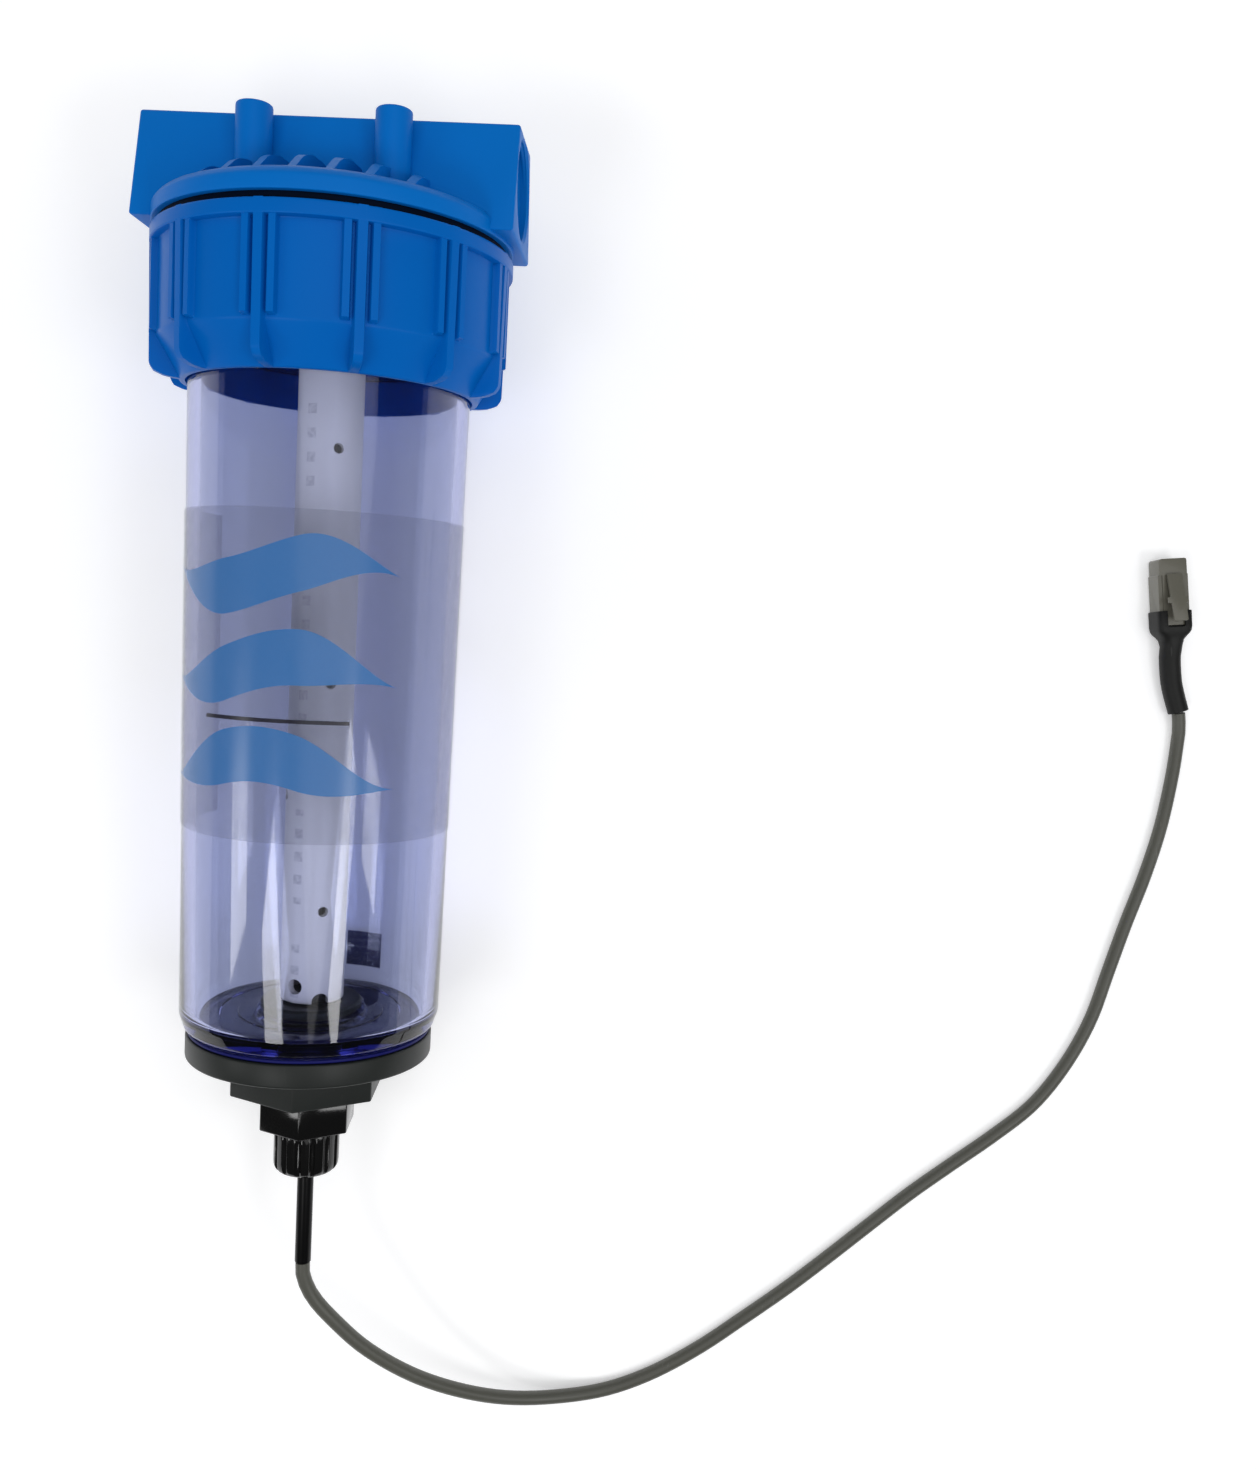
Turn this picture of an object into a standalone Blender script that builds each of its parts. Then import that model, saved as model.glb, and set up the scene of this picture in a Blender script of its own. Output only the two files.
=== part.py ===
"""Clear flow-through cell: a port head, a screwed ring nut and a clear bowl that holds a drilled pipe
with two electrodes. Its lead leaves through a gland in the bowl's foot and ends in a modular plug.

The cell is modelled upright: its axis is Z, z = 0 is the lower rim of the ring nut, the ports run along
X and the front faces -Y. It is then laid on its side on the ground, with its lead beside it.
All sizes are millimetres and the helpers turn them into metres.
"""

import math

import bmesh
import bpy
from mathutils import Matrix, Vector

MM = 0.001
GAP = 0.3  # between pieces that touch
OVER = 1.0  # how far a cutter runs past what it cuts

# Bowl
BOWL_TOP = 17.0
BOWL_RIM_RADIUS = 50.3
BOWL_RIM_BOTTOM = 12.3
BOWL_RADIUS = 45.2  # outside, at z = 0
BOWL_TAPER = 0.0107  # change of radius for each millimetre of height
BOWL_WALL = 4.2
BOWL_CORNER = -205.5
FLOOR_TOP = -206.4
BOWL_BOTTOM = -210.7

# Ring nut
NUT_TOP = 45.7
COLLAR_BOTTOM = 41.3
COLLAR_RADIUS = 57.5
NUT_RADIUS = 54.9
NUT_CONE_TOP = 12.3
NUT_RIM_RADIUS = 47.6
NUT_BORE = 46.0
NUT_THREAD_BORE = 51.0
RIB_GROUPS = 12
RIB_TURN = -8.0  # degrees from the front to the middle rib of the nearest group
RIB_SIDE_ANGLE = 4.2  # degrees from a middle rib to its short ribs
LONG_RIB = 3.1
SHORT_RIB = 2.4
SHORT_RIB_RADIUS = 57.0  # at its lower end, which the cell rests on
SHORT_RIB_BOTTOM = 13.8

# Head
SKIRT_BOTTOM = 20.5
SKIRT_RADIUS = 50.2
FLANGE_BOTTOM = 48.1
FLANGE_RADIUS = 57.3
BAR_HALF_LENGTH = 60.2
BAR_BOTTOM = 49.2
BAR_TOP = 83.6
BAR_BOTTOM_HALF_DEPTH = 21.6
BAR_TOP_HALF_DEPTH = 13.9
PORT_HEIGHT = 67.4
PORT_RADIUS = 15.1
PORT_DEPTH = 21.5
BOSS_X = 21.8
BOSS_Y = 20.0
BOSS_RADIUS = 5.7
BOSS_TOP = 84.0
FIN_PITCH = 10.7
FIN_THICKNESS = 2.3
FIN_FOOT = 56.0
FINS_EACH_SIDE_OF_MIDDLE = 3
CENTRE_BORE = 13.0

# Drilled pipe and what is in it
PIPE_RADIUS = 10.67
PIPE_BORE = 7.9
PIPE_TOP = 46.0
PIPE_BOTTOM = -202.0
HOLE_RADIUS = 1.7
HOLE_PITCH = 76.1
FIRST_HOLE = -18.3
HOLE_TURN = 30.0
ANODE_X = -3.8
ANODE_RADIUS = 2.6
CATHODE_X = 4.2
CATHODE_RADIUS = 1.6
ROD_TOP = 42.0
ROD_BOTTOM = -190.0
LEAD_RADIUS = 0.6

# Bulkhead fitting in the bowl's foot
SHANK_TOP = -202.3
SHANK_RADIUS = 10.0
SHANK_BORE = 7.4
FLANGE_TOP = -212.3
FLANGE_FOOT = -220.1
FOOT_FLANGE_RADIUS = 40.8
HEX_BOTTOM = -233.1
HEX_RADIUS = 27.0
HEX_TURN = 4.0

# Gland
GLAND_TOP = -222.0
GLAND_HEX_TOP = -234.5
GLAND_HEX_BOTTOM = -246.4
GLAND_HEX_RADIUS = 16.8
GLAND_HEX_TURN = 5.0
GLAND_STUB_BOTTOM = -255.0
DOME_TOP = -246.8
DOME_BOTTOM = -262.5
DOME_RADIUS = 11.1
DOME_FLUTES = 12

# Lead and plug
SLEEVE_RADIUS = 2.75
SLEEVE_TOP = -238.0
SLEEVE_BOTTOM = -295.5
CORD_RADIUS = 2.5
CORD_STEP = 11.5
CORD_STRAIGHT = 2.0  # at each end, square to the face it meets
PLUG_PLACE = (316.7, 29.0, 0.0)
PLUG_TURN = 6.3
PLUG_WIDTH = 12.0
PLUG_FRONT = 28.6
PLUG_BACK = 3.0
PLUG_BOTTOM = 1.2
PLUG_TOP = 9.5
FLARE_WIDTH = 14.6
FLARE_LENGTH = 8.6
FLARE_TOP = 10.7
BOOT_RADIUS = 3.8
LATCH_HINGE = (0.0, 22.0, 10.4)
LATCH_LENGTH = 18.0
LATCH_REST = 12.0

# The cord's centre line on the ground, from the sleeve to the boot.
CORD_ROUTE = (
    (0.0, -206.75, 37.68), (0.4, -212.0, 37.3), (3.6, -219.4, 36.2), (10.0, -227.6, 34.5), (21.8, -240.4, 30.2),
    (37.4, -252.8, 23.8), (53.8, -262.0, 17.2), (71.3, -268.4, 10.9), (89.4, -271.0, 5.9), (109.8, -269.6, 3.1),
    (127.9, -263.4, 2.6), (145.8, -253.5, 2.6), (161.7, -242.5, 2.6), (178.5, -230.4, 2.6), (193.9, -218.3, 2.6),
    (210.0, -205.2, 2.6), (225.4, -192.8, 2.6), (241.4, -181.1, 2.6), (257.6, -169.5, 2.6), (273.0, -156.8, 2.6),
    (285.1, -140.9, 2.6), (294.2, -123.3, 2.6), (300.3, -104.1, 2.6), (306.3, -85.2, 2.6), (312.8, -66.5, 2.6),
    (318.2, -47.2, 2.6), (321.7, -27.5, 2.6), (323.2, -13.0, 2.7), (323.3, -7.5, 3.1), (322.35, -1.75, 3.85),
)
BOOT_ROUTE = ((0.0, 0.8, 5.2), (-0.6, -8.4, 4.8), (-0.4, -17.2, 4.3), (0.4, -22.8, 4.05), (2.16, -30.6, 3.9))

STEPS = 60
SMALL_STEPS = 24


def clear_scene():
    for old in list(bpy.data.objects):
        bpy.data.objects.remove(old, do_unlink=True)


def new_collection(name):
    collection = bpy.data.collections.new(name)
    bpy.context.scene.collection.children.link(collection)
    return collection


def material(name, colour, roughness, metallic=0.0, alpha=1.0):
    made = bpy.data.materials.new(name)
    made.use_nodes = True
    shader = made.node_tree.nodes["Principled BSDF"]
    shader.inputs["Base Color"].default_value = (*colour, 1.0)
    shader.inputs["Roughness"].default_value = roughness
    shader.inputs["Metallic"].default_value = metallic
    shader.inputs["Alpha"].default_value = alpha
    return made


clear_scene()
PARTS = new_collection("electrode_cell")
CUTTERS = new_collection("cutters")


# ---- helpers: each makes one object from millimetres -------------------------------------------------


def add_object(name, data, parent, finish=None):
    made = bpy.data.objects.new(name, data)
    (PARTS if finish else CUTTERS).objects.link(made)
    made.parent = parent
    if finish:
        data.materials.append(finish)
    else:
        made.hide_render = True
        made.display_type = "WIRE"
    return made


def scaled(points):
    return [Vector(point) * MM for point in points]


def turned(name, outline, parent, finish=None, steps=STEPS, ring=True, angle=360.0, sheet=0.0):
    """Turns an outline of (radius, height) about Z. A ring's outline is closed, else it ends on the axis."""
    mesh = bpy.data.meshes.new(name)
    edges = [(i, i + 1) for i in range(len(outline) - 1)]
    if ring:
        edges.append((len(outline) - 1, 0))
    mesh.from_pydata(scaled((radius, 0.0, height) for radius, height in outline), edges, [])
    made = add_object(name, mesh, parent, finish)
    screw = made.modifiers.new("turn", "SCREW")
    screw.steps = screw.render_steps = steps
    screw.angle = math.radians(angle)
    screw.use_merge_vertices = True
    screw.merge_threshold = 0.00001
    if sheet:
        solidify = made.modifiers.new("thickness", "SOLIDIFY")
        solidify.thickness = sheet * MM
        solidify.offset = 1.0
    return made


def prism(name, outline, thickness, parent, matrix, finish=None):
    """A flat outline in X and Y, extruded by half the thickness to each side, then placed by a matrix."""
    curve = bpy.data.curves.new(name, "CURVE")
    curve.dimensions = "2D"
    curve.fill_mode = "BOTH"
    curve.extrude = thickness * MM / 2
    spline = curve.splines.new("POLY")
    spline.points.add(len(outline) - 1)
    for point, (x, y) in zip(spline.points, outline):
        point.co = (x * MM, y * MM, 0.0, 1.0)
    spline.use_cyclic_u = True
    return add_object(name, curve_mesh(name, curve, matrix), parent, finish)


def tube(name, points, radius, parent, finish=None, resolution=2):
    curve = bpy.data.curves.new(name, "CURVE")
    curve.dimensions = "3D"
    curve.bevel_depth = radius * MM
    curve.bevel_resolution = resolution
    curve.use_fill_caps = True
    spline = curve.splines.new("POLY")
    spline.points.add(len(points) - 1)
    for point, place in zip(spline.points, points):
        point.co = (*(Vector(place) * MM), 1.0)
    return add_object(name, curve_mesh(name, curve, Matrix()), parent, finish)


def curve_mesh(name, curve, matrix):
    """The mesh of a curve, with its loose caps welded on."""
    helper = bpy.data.objects.new(name + "_curve", curve)
    CUTTERS.objects.link(helper)
    graph = bpy.context.evaluated_depsgraph_get()
    mesh = bpy.data.meshes.new_from_object(helper.evaluated_get(graph))
    bpy.data.objects.remove(helper)
    mesh.name = name
    mesh.transform(matrix)
    body = bmesh.new()
    body.from_mesh(mesh)
    bmesh.ops.remove_doubles(body, verts=body.verts, dist=0.000001)
    bmesh.ops.recalc_face_normals(body, faces=body.faces)
    body.to_mesh(mesh)
    body.free()
    mesh.materials.clear()
    return mesh


def box(name, low, high, parent, finish=None, bevel=0.0):
    low, high = Vector(low) * MM, Vector(high) * MM
    body = bmesh.new()
    size = Matrix.Diagonal((*(high - low), 1.0))
    bmesh.ops.create_cube(body, size=1.0, matrix=Matrix.Translation((low + high) / 2) @ size)
    mesh = bpy.data.meshes.new(name)
    body.to_mesh(mesh)
    body.free()
    made = add_object(name, mesh, parent, finish)
    if bevel:
        rounding = made.modifiers.new("rounding", "BEVEL")
        rounding.width = bevel * MM
        rounding.segments = 2
    return made


def rods(name, places, radius, length, parent, turn=None, finish=None, steps=SMALL_STEPS, twist=0.0):
    """Cylinders of one size in one mesh, each centred on its place and along Z, or turned by a matrix."""
    body = bmesh.new()
    for place in places:
        matrix = Matrix.Translation(Vector(place) * MM) @ (turn or Matrix())
        matrix = matrix @ Matrix.Rotation(math.radians(twist), 4, "Z")
        bmesh.ops.create_cone(
            body, cap_ends=True, segments=steps, radius1=radius * MM, radius2=radius * MM, depth=length * MM,
            matrix=matrix,
        )
    mesh = bpy.data.meshes.new(name)
    body.to_mesh(mesh)
    body.free()
    return add_object(name, mesh, parent, finish)


def cut(target, cutter):
    combine(target, cutter, "DIFFERENCE")


def join(target, addition):
    combine(target, addition, "UNION")


def combine(target, other, operation):
    change = target.modifiers.new(other.name, "BOOLEAN")
    change.operation = operation
    change.solver = "EXACT"
    change.object = other


def joined(name, pieces, parent):
    """One cutter from several meshes that don't touch each other."""
    body = bmesh.new()
    for piece in pieces:
        body.from_mesh(piece.data)
        bpy.data.objects.remove(piece)
    mesh = bpy.data.meshes.new(name)
    body.to_mesh(mesh)
    body.free()
    return add_object(name, mesh, parent)


def round_shading(made):
    made.data.shade_smooth()
    made.data.set_sharp_from_angle(angle=math.radians(35))


def smooth_route(points, step):
    """Even points along a smooth curve through the given ones."""
    points = [Vector(point) for point in points]
    padded = [2 * points[0] - points[1], *points, 2 * points[-1] - points[-2]]
    fine = []
    for before, start, end, after in zip(padded, padded[1:], padded[2:], padded[3:]):
        for i in range(12):
            t = i / 12
            fine.append(
                0.5 * (2 * start + (end - before) * t + (2 * before - 5 * start + 4 * end - after) * t**2
                       + (3 * start - before - 3 * end + after) * t**3)
            )
    fine.append(points[-1])
    length = sum((b - a).length for a, b in zip(fine, fine[1:]))
    count = round(length / step)
    even, walked = [fine[0]], 0.0
    for a, b in zip(fine, fine[1:]):
        span = (b - a).length
        while len(even) < count and walked + span >= length * len(even) / count:
            even.append(a.lerp(b, (length * len(even) / count - walked) / span))
        walked += span
    return [*even, fine[-1]]


def square_ends(route, straight, first, last):
    """Adds a short straight run at each end of a route, along the given directions."""
    first, last = Vector(first).normalized(), Vector(last).normalized()
    return [route[0], route[0] + straight * first, *route[1:-1], route[-1] - straight * last, route[-1]]


def along(direction):
    return Vector(direction).to_track_quat("Z", "Y").to_matrix().to_4x4()


def bowl_radius(height):
    return BOWL_RADIUS + BOWL_TAPER * height


# ---- the cell's place on the ground -------------------------------------------------------------------


def make_cell_empty():
    """The cell rests on the lower ends of two short ribs of its nut and on the corner of its bowl."""
    half_angle = math.radians(180.0 / RIB_GROUPS - RIB_SIDE_ANGLE)
    rib_reach = SHORT_RIB_RADIUS * math.cos(half_angle) + SHORT_RIB / 2 * math.sin(half_angle)
    corner_reach = bowl_radius(BOWL_CORNER)
    slope = (rib_reach - corner_reach) / (SHORT_RIB_BOTTOM - BOWL_CORNER)
    tilt = math.atan(slope)
    height = (rib_reach - slope * SHORT_RIB_BOTTOM) * math.cos(tilt)
    length_centre = 88.52
    roll = 180.0 / RIB_GROUPS + RIB_TURN
    cell = bpy.data.objects.new("cell_pose", None)
    PARTS.objects.link(cell)
    cell.matrix_world = (
        Matrix.Translation(Vector((0.0, length_centre, height)) * MM)
        @ Matrix.Rotation(tilt - math.pi / 2, 4, "X")
        @ Matrix.Rotation(math.radians(-roll), 4, "Z")
    )
    return cell


def make_plug_empty():
    plug = bpy.data.objects.new("plug_pose", None)
    PARTS.objects.link(plug)
    plug.location = Vector(PLUG_PLACE) * MM
    plug.rotation_euler.z = math.radians(PLUG_TURN)
    return plug


# ---- head ---------------------------------------------------------------------------------------------


def make_head(cell, finish):
    head = turned(
        "head",
        [
            (0.0, 66.8), (24.0, 66.2), (34.0, 64.9), (38.0, 63.7), (41.9, 62.4), (45.3, 60.7), (52.4, 55.9),
            (55.4, 54.7), (56.9, 53.3), (FLANGE_RADIUS, 51.6), (FLANGE_RADIUS, FLANGE_BOTTOM),
            (SKIRT_RADIUS, FLANGE_BOTTOM), (SKIRT_RADIUS, SKIRT_BOTTOM), (0.0, SKIRT_BOTTOM),
        ],
        cell, finish, ring=False,
    )
    cut(head, make_slots(cell))
    bar_end = [
        (-BAR_BOTTOM_HALF_DEPTH, BAR_BOTTOM), (BAR_BOTTOM_HALF_DEPTH, BAR_BOTTOM),
        (BAR_TOP_HALF_DEPTH, BAR_TOP), (-BAR_TOP_HALF_DEPTH, BAR_TOP),
    ]
    sideways = Matrix(((0, 0, 1, 0), (1, 0, 0, 0), (0, 1, 0, 0), (0, 0, 0, 1)))
    join(head, prism("port_bar", bar_end, 2 * BAR_HALF_LENGTH, cell, sideways))
    boss_places = [(x, y) for x in (-BOSS_X, BOSS_X) for y in (-BOSS_Y, BOSS_Y)]
    boss_length = BOSS_TOP - 53.0
    boss_middles = [(x, y, BOSS_TOP - boss_length / 2) for x, y in boss_places]
    join(head, rods("bosses", boss_middles, BOSS_RADIUS, boss_length, cell))
    chamber = [(43.6, 48.0), (43.6, 19.0), (15.5, 19.0), (15.5, 48.0), (18.5, 51.0), (40.6, 51.0)]
    cut(head, turned("annular_chamber", chamber, cell))
    cut(head, turned(
        "centre_bore",
        [(0.0, PORT_HEIGHT), (9.0, PORT_HEIGHT), (9.0, 50.0), (CENTRE_BORE, 50.0), (CENTRE_BORE, 19.0), (0.0, 19.0)],
        cell, ring=False, steps=32,
    ))
    x_axis = along((1, 0, 0))
    port_middle = BAR_HALF_LENGTH - PORT_DEPTH / 2 + OVER / 2
    port_middles = [(side * port_middle, 0.0, PORT_HEIGHT) for side in (-1, 1)]
    cut(head, rods("ports", port_middles, PORT_RADIUS, PORT_DEPTH + OVER, cell, x_axis, steps=36))
    cut(head, rods("outlet_way", [(19.5, 0.0, PORT_HEIGHT)], 8.6, 41.0, cell, x_axis))
    cut(head, rods("inlet_way", [(-31.5, 0.0, PORT_HEIGHT)], 8.2, 15.5, cell, x_axis))
    cut(head, rods("inlet_drop", [(-30.5, 0.0, 57.0)], 7.0, 20.0, cell))
    cut(head, rods("boss_holes", [(x, y, BOSS_TOP - 6.0) for x, y in boss_places], 1.9, 14.0, cell, steps=12))
    return head


def make_slots(cell):
    """What is cut from the dome so that only upright fins are left of it, square to the ports."""
    middle = FINS_EACH_SIDE_OF_MIDDLE
    edges = [-70.0]
    for number in range(-middle, middle + 1):
        edges += [number * FIN_PITCH - FIN_THICKNESS / 2, number * FIN_PITCH + FIN_THICKNESS / 2]
    edges.append(70.0)
    slots = []
    for left, right in zip(edges[0::2], edges[1::2]):
        slots.append(box("slot", (left, -60.0, FIN_FOOT), (right, 60.0, 70.0), cell))
    return joined("slots", slots, cell)


def make_guide_bush(cell, finish):
    return turned(
        "pipe_guide_bush",
        [
            (CENTRE_BORE - GAP, 33.0), (CENTRE_BORE - GAP, 22.0),
            (PIPE_RADIUS + GAP, 22.0), (PIPE_RADIUS + GAP, 33.0),
        ],
        cell, finish, steps=32,
    )


# ---- ring nut -----------------------------------------------------------------------------------------


def make_ring_nut(cell, finish):
    nut = turned(
        "ring_nut",
        [
            (COLLAR_RADIUS, NUT_TOP), (COLLAR_RADIUS, COLLAR_BOTTOM), (NUT_RADIUS, COLLAR_BOTTOM - 0.4),
            (NUT_RADIUS, NUT_CONE_TOP), (NUT_RIM_RADIUS, 0.0), (NUT_BORE, 0.0),
            (NUT_BORE, BOWL_RIM_BOTTOM - GAP), (NUT_THREAD_BORE, BOWL_RIM_BOTTOM - GAP),
            (NUT_THREAD_BORE, NUT_TOP),
        ],
        cell, finish, steps=72,
    )
    join_height = COLLAR_BOTTOM + 1.5
    long_outline = [
        (57.4, join_height), (56.8, 3.6), (55.6, 1.8), (52.0, 0.5), (46.9, 0.9), (46.9, 8.0), (52.6, 10.5),
        (53.0, join_height),
    ]
    short_outline = [
        (57.3, join_height), (SHORT_RIB_RADIUS, SHORT_RIB_BOTTOM), (56.2, SHORT_RIB_BOTTOM - 0.8),
        (53.5, SHORT_RIB_BOTTOM - 0.8), (53.5, join_height),
    ]
    upright = Matrix(((1, 0, 0, 0), (0, 0, -1, 0), (0, 1, 0, 0), (0, 0, 0, 1)))
    ribs = []
    for group in range(RIB_GROUPS):
        middle = RIB_TURN + group * 360.0 / RIB_GROUPS
        for offset, outline, width in (
            (0.0, long_outline, LONG_RIB), (-RIB_SIDE_ANGLE, short_outline, SHORT_RIB),
            (RIB_SIDE_ANGLE, short_outline, SHORT_RIB),
        ):
            place = Matrix.Rotation(math.radians(middle + offset - 90.0), 4, "Z")
            ribs.append(prism("rib", outline, width, cell, place @ upright))
    join(nut, joined("nut_ribs", ribs, cell))
    return nut


# ---- bowl and its labels ------------------------------------------------------------------------------


def make_bowl(cell, finish):
    inner_foot = bowl_radius(FLOOR_TOP) - BOWL_WALL
    return turned(
        "bowl",
        [
            (BOWL_RIM_RADIUS, BOWL_TOP), (BOWL_RIM_RADIUS, BOWL_RIM_BOTTOM),
            (bowl_radius(BOWL_RIM_BOTTOM), BOWL_RIM_BOTTOM),
            (bowl_radius(BOWL_CORNER), BOWL_CORNER), (42.5, -208.1), (41.3, -209.9), (39.4, BOWL_BOTTOM),
            (SHANK_RADIUS + GAP, BOWL_BOTTOM), (SHANK_RADIUS + GAP, FLOOR_TOP),
            (inner_foot - 4.2, FLOOR_TOP), (inner_foot - 2.1, FLOOR_TOP + 0.56), (inner_foot - 0.56, FLOOR_TOP + 2.1),
            (inner_foot, FLOOR_TOP + 4.2), (bowl_radius(BOWL_TOP) - BOWL_WALL, BOWL_TOP),
        ],
        cell, finish,
    )


def make_o_ring(cell, finish):
    radius, height, thickness = 47.0, (BOWL_TOP + SKIRT_BOTTOM) / 2, (SKIRT_BOTTOM - BOWL_TOP) / 2 - GAP
    circle = [
        (radius + thickness * math.cos(math.radians(-a)), height + thickness * math.sin(math.radians(-a)))
        for a in range(0, 360, 45)
    ]
    return turned("bowl_o_ring", circle, cell, finish)


def make_label(name, top, bottom, first, last, cell, finish, steps):
    """A film round the outside of the bowl, from one angle to another, both in degrees from the front."""
    outline = [(bowl_radius(height) + GAP, height) for height in (top, bottom)]
    film = turned(name, outline, cell, finish, steps=steps, ring=False, angle=last - first, sheet=GAP)
    film.rotation_euler.z = math.radians(first - 90.0)
    return film


# ---- drilled pipe and electrodes ----------------------------------------------------------------------


def make_pipe(cell, finish):
    pipe = turned(
        "perforated_pipe",
        [(PIPE_RADIUS, PIPE_TOP), (PIPE_RADIUS, PIPE_BOTTOM), (PIPE_BORE, PIPE_BOTTOM), (PIPE_BORE, PIPE_TOP)],
        cell, finish, steps=32,
    )
    through = 2 * PIPE_RADIUS + 2 * OVER
    for row in range(2):
        turn = math.radians(HOLE_TURN - 90.0 * row - 90.0)
        direction = along((math.cos(turn), math.sin(turn), 0.0))
        heights = [FIRST_HOLE - HOLE_PITCH * (number + row / 2) for number in range(3 - row)]
        middles = [(0.0, 0.0, height) for height in heights]
        cut(pipe, rods(f"holes_{row}", middles, HOLE_RADIUS, through, cell, direction, steps=12))
    for name, turn, height, radius in (("drain", -17.5, -196.4, 2.6), ("notch", 30.0, -201.2, 2.8)):
        turn = math.radians(turn - 90.0)
        middle = (PIPE_RADIUS * math.cos(turn), PIPE_RADIUS * math.sin(turn), height)
        direction = along((math.cos(turn), math.sin(turn), 0.0))
        cut(pipe, rods(name, [middle], radius, 2 * PIPE_RADIUS - 8.0, cell, direction, steps=16))
    return pipe


def make_electrodes(cell, zinc, steel, plastic, potting):
    middle, length = (ROD_TOP + ROD_BOTTOM) / 2, ROD_TOP - ROD_BOTTOM
    rods("anode_rod", [(ANODE_X, 0.0, middle)], ANODE_RADIUS, length, cell, finish=zinc, steps=20)
    rods("cathode_rod", [(CATHODE_X, 0.0, middle)], CATHODE_RADIUS, length, cell, finish=steel, steps=16)
    for name, height in (("electrode_spacer_top", 38.0), ("electrode_spacer_bottom", -184.0)):
        spacer = rods(name, [(0.0, 0.0, height)], PIPE_BORE - 0.4, 4.0, cell, finish=plastic)
        anode_place, cathode_place = (ANODE_X, 0.0, height), (CATHODE_X, 0.0, height)
        cut(spacer, rods(name + "_anode_hole", [anode_place], ANODE_RADIUS + GAP, 6.0, cell, steps=20))
        cut(spacer, rods(name + "_cathode_hole", [cathode_place], CATHODE_RADIUS + GAP, 6.0, cell, steps=16))
    for name, x in (("anode_lead", ANODE_X), ("cathode_lead", CATHODE_X)):
        inner_x = math.copysign(1.4, x)
        points = [
            (x, 0.0, ROD_BOTTOM - GAP), (x, 0.0, -214.8), (inner_x, 0.0, -221.0), (inner_x, 0.0, SLEEVE_TOP + GAP),
        ]
        tube(name, points, LEAD_RADIUS, cell, finish=potting if x < 0 else plastic, resolution=1)
    plug = turned(
        "pipe_foot_plug",
        [
            (0.0, -199.9), (PIPE_BORE - GAP, -199.9), (PIPE_BORE - GAP, PIPE_BOTTOM),
            (SHANK_BORE - GAP, PIPE_BOTTOM),
            (SHANK_BORE - GAP, -214.0), (0.0, -214.0),
        ],
        cell, potting, steps=SMALL_STEPS, ring=False,
    )
    lead_places = [(ANODE_X, 0.0, -207.0), (CATHODE_X, 0.0, -207.0)]
    cut(plug, rods("lead_holes", lead_places, LEAD_RADIUS + GAP, 20.0, cell, steps=12))


# ---- bulkhead fitting and gland -----------------------------------------------------------------------


def make_bulkhead(cell, plastic, rubber):
    body = turned(
        "bulkhead_body",
        [
            (0.0, SHANK_TOP), (SHANK_RADIUS, SHANK_TOP), (SHANK_RADIUS, FLANGE_TOP),
            (FOOT_FLANGE_RADIUS - 0.4, FLANGE_TOP),
            (FOOT_FLANGE_RADIUS, FLANGE_TOP - 0.4), (FOOT_FLANGE_RADIUS, FLANGE_FOOT + 0.6),
            (FOOT_FLANGE_RADIUS - 0.6, FLANGE_FOOT), (0.0, FLANGE_FOOT),
        ],
        cell, plastic, ring=False,
    )
    hex_height = FLANGE_FOOT - HEX_BOTTOM + 3.0
    hexagon = rods(
        "bulkhead_hex", [(0.0, 0.0, HEX_BOTTOM + hex_height / 2)], HEX_RADIUS, hex_height, cell,
        steps=6, twist=HEX_TURN - 90.0,
    )
    join(body, hexagon)
    cut(body, turned(
        "bulkhead_bore",
        [
            (0.0, SHANK_TOP + OVER), (SHANK_BORE, SHANK_TOP + OVER), (SHANK_BORE, -221.5), (9.4, -221.5),
            (9.4, HEX_BOTTOM - OVER), (0.0, HEX_BOTTOM - OVER),
        ],
        cell, ring=False, steps=SMALL_STEPS,
    ))
    gasket = [(40.2, -211.0), (40.2, -212.0), (SHANK_RADIUS + GAP, -212.0), (SHANK_RADIUS + GAP, -211.0)]
    turned("bulkhead_gasket", gasket, cell, rubber)
    turned(
        "bulkhead_inner_washer",
        [(16.0, -205.4), (16.0, -206.1), (SHANK_RADIUS + GAP, -206.1), (SHANK_RADIUS + GAP, -205.4)],
        cell, rubber, steps=36,
    )
    turned(
        "bulkhead_nut",
        [
            (16.4, -202.6), (17.0, -203.2), (17.0, -205.1),
            (SHANK_RADIUS + GAP, -205.1), (SHANK_RADIUS + GAP, -202.6),
        ],
        cell, plastic, steps=36,
    )


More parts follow.
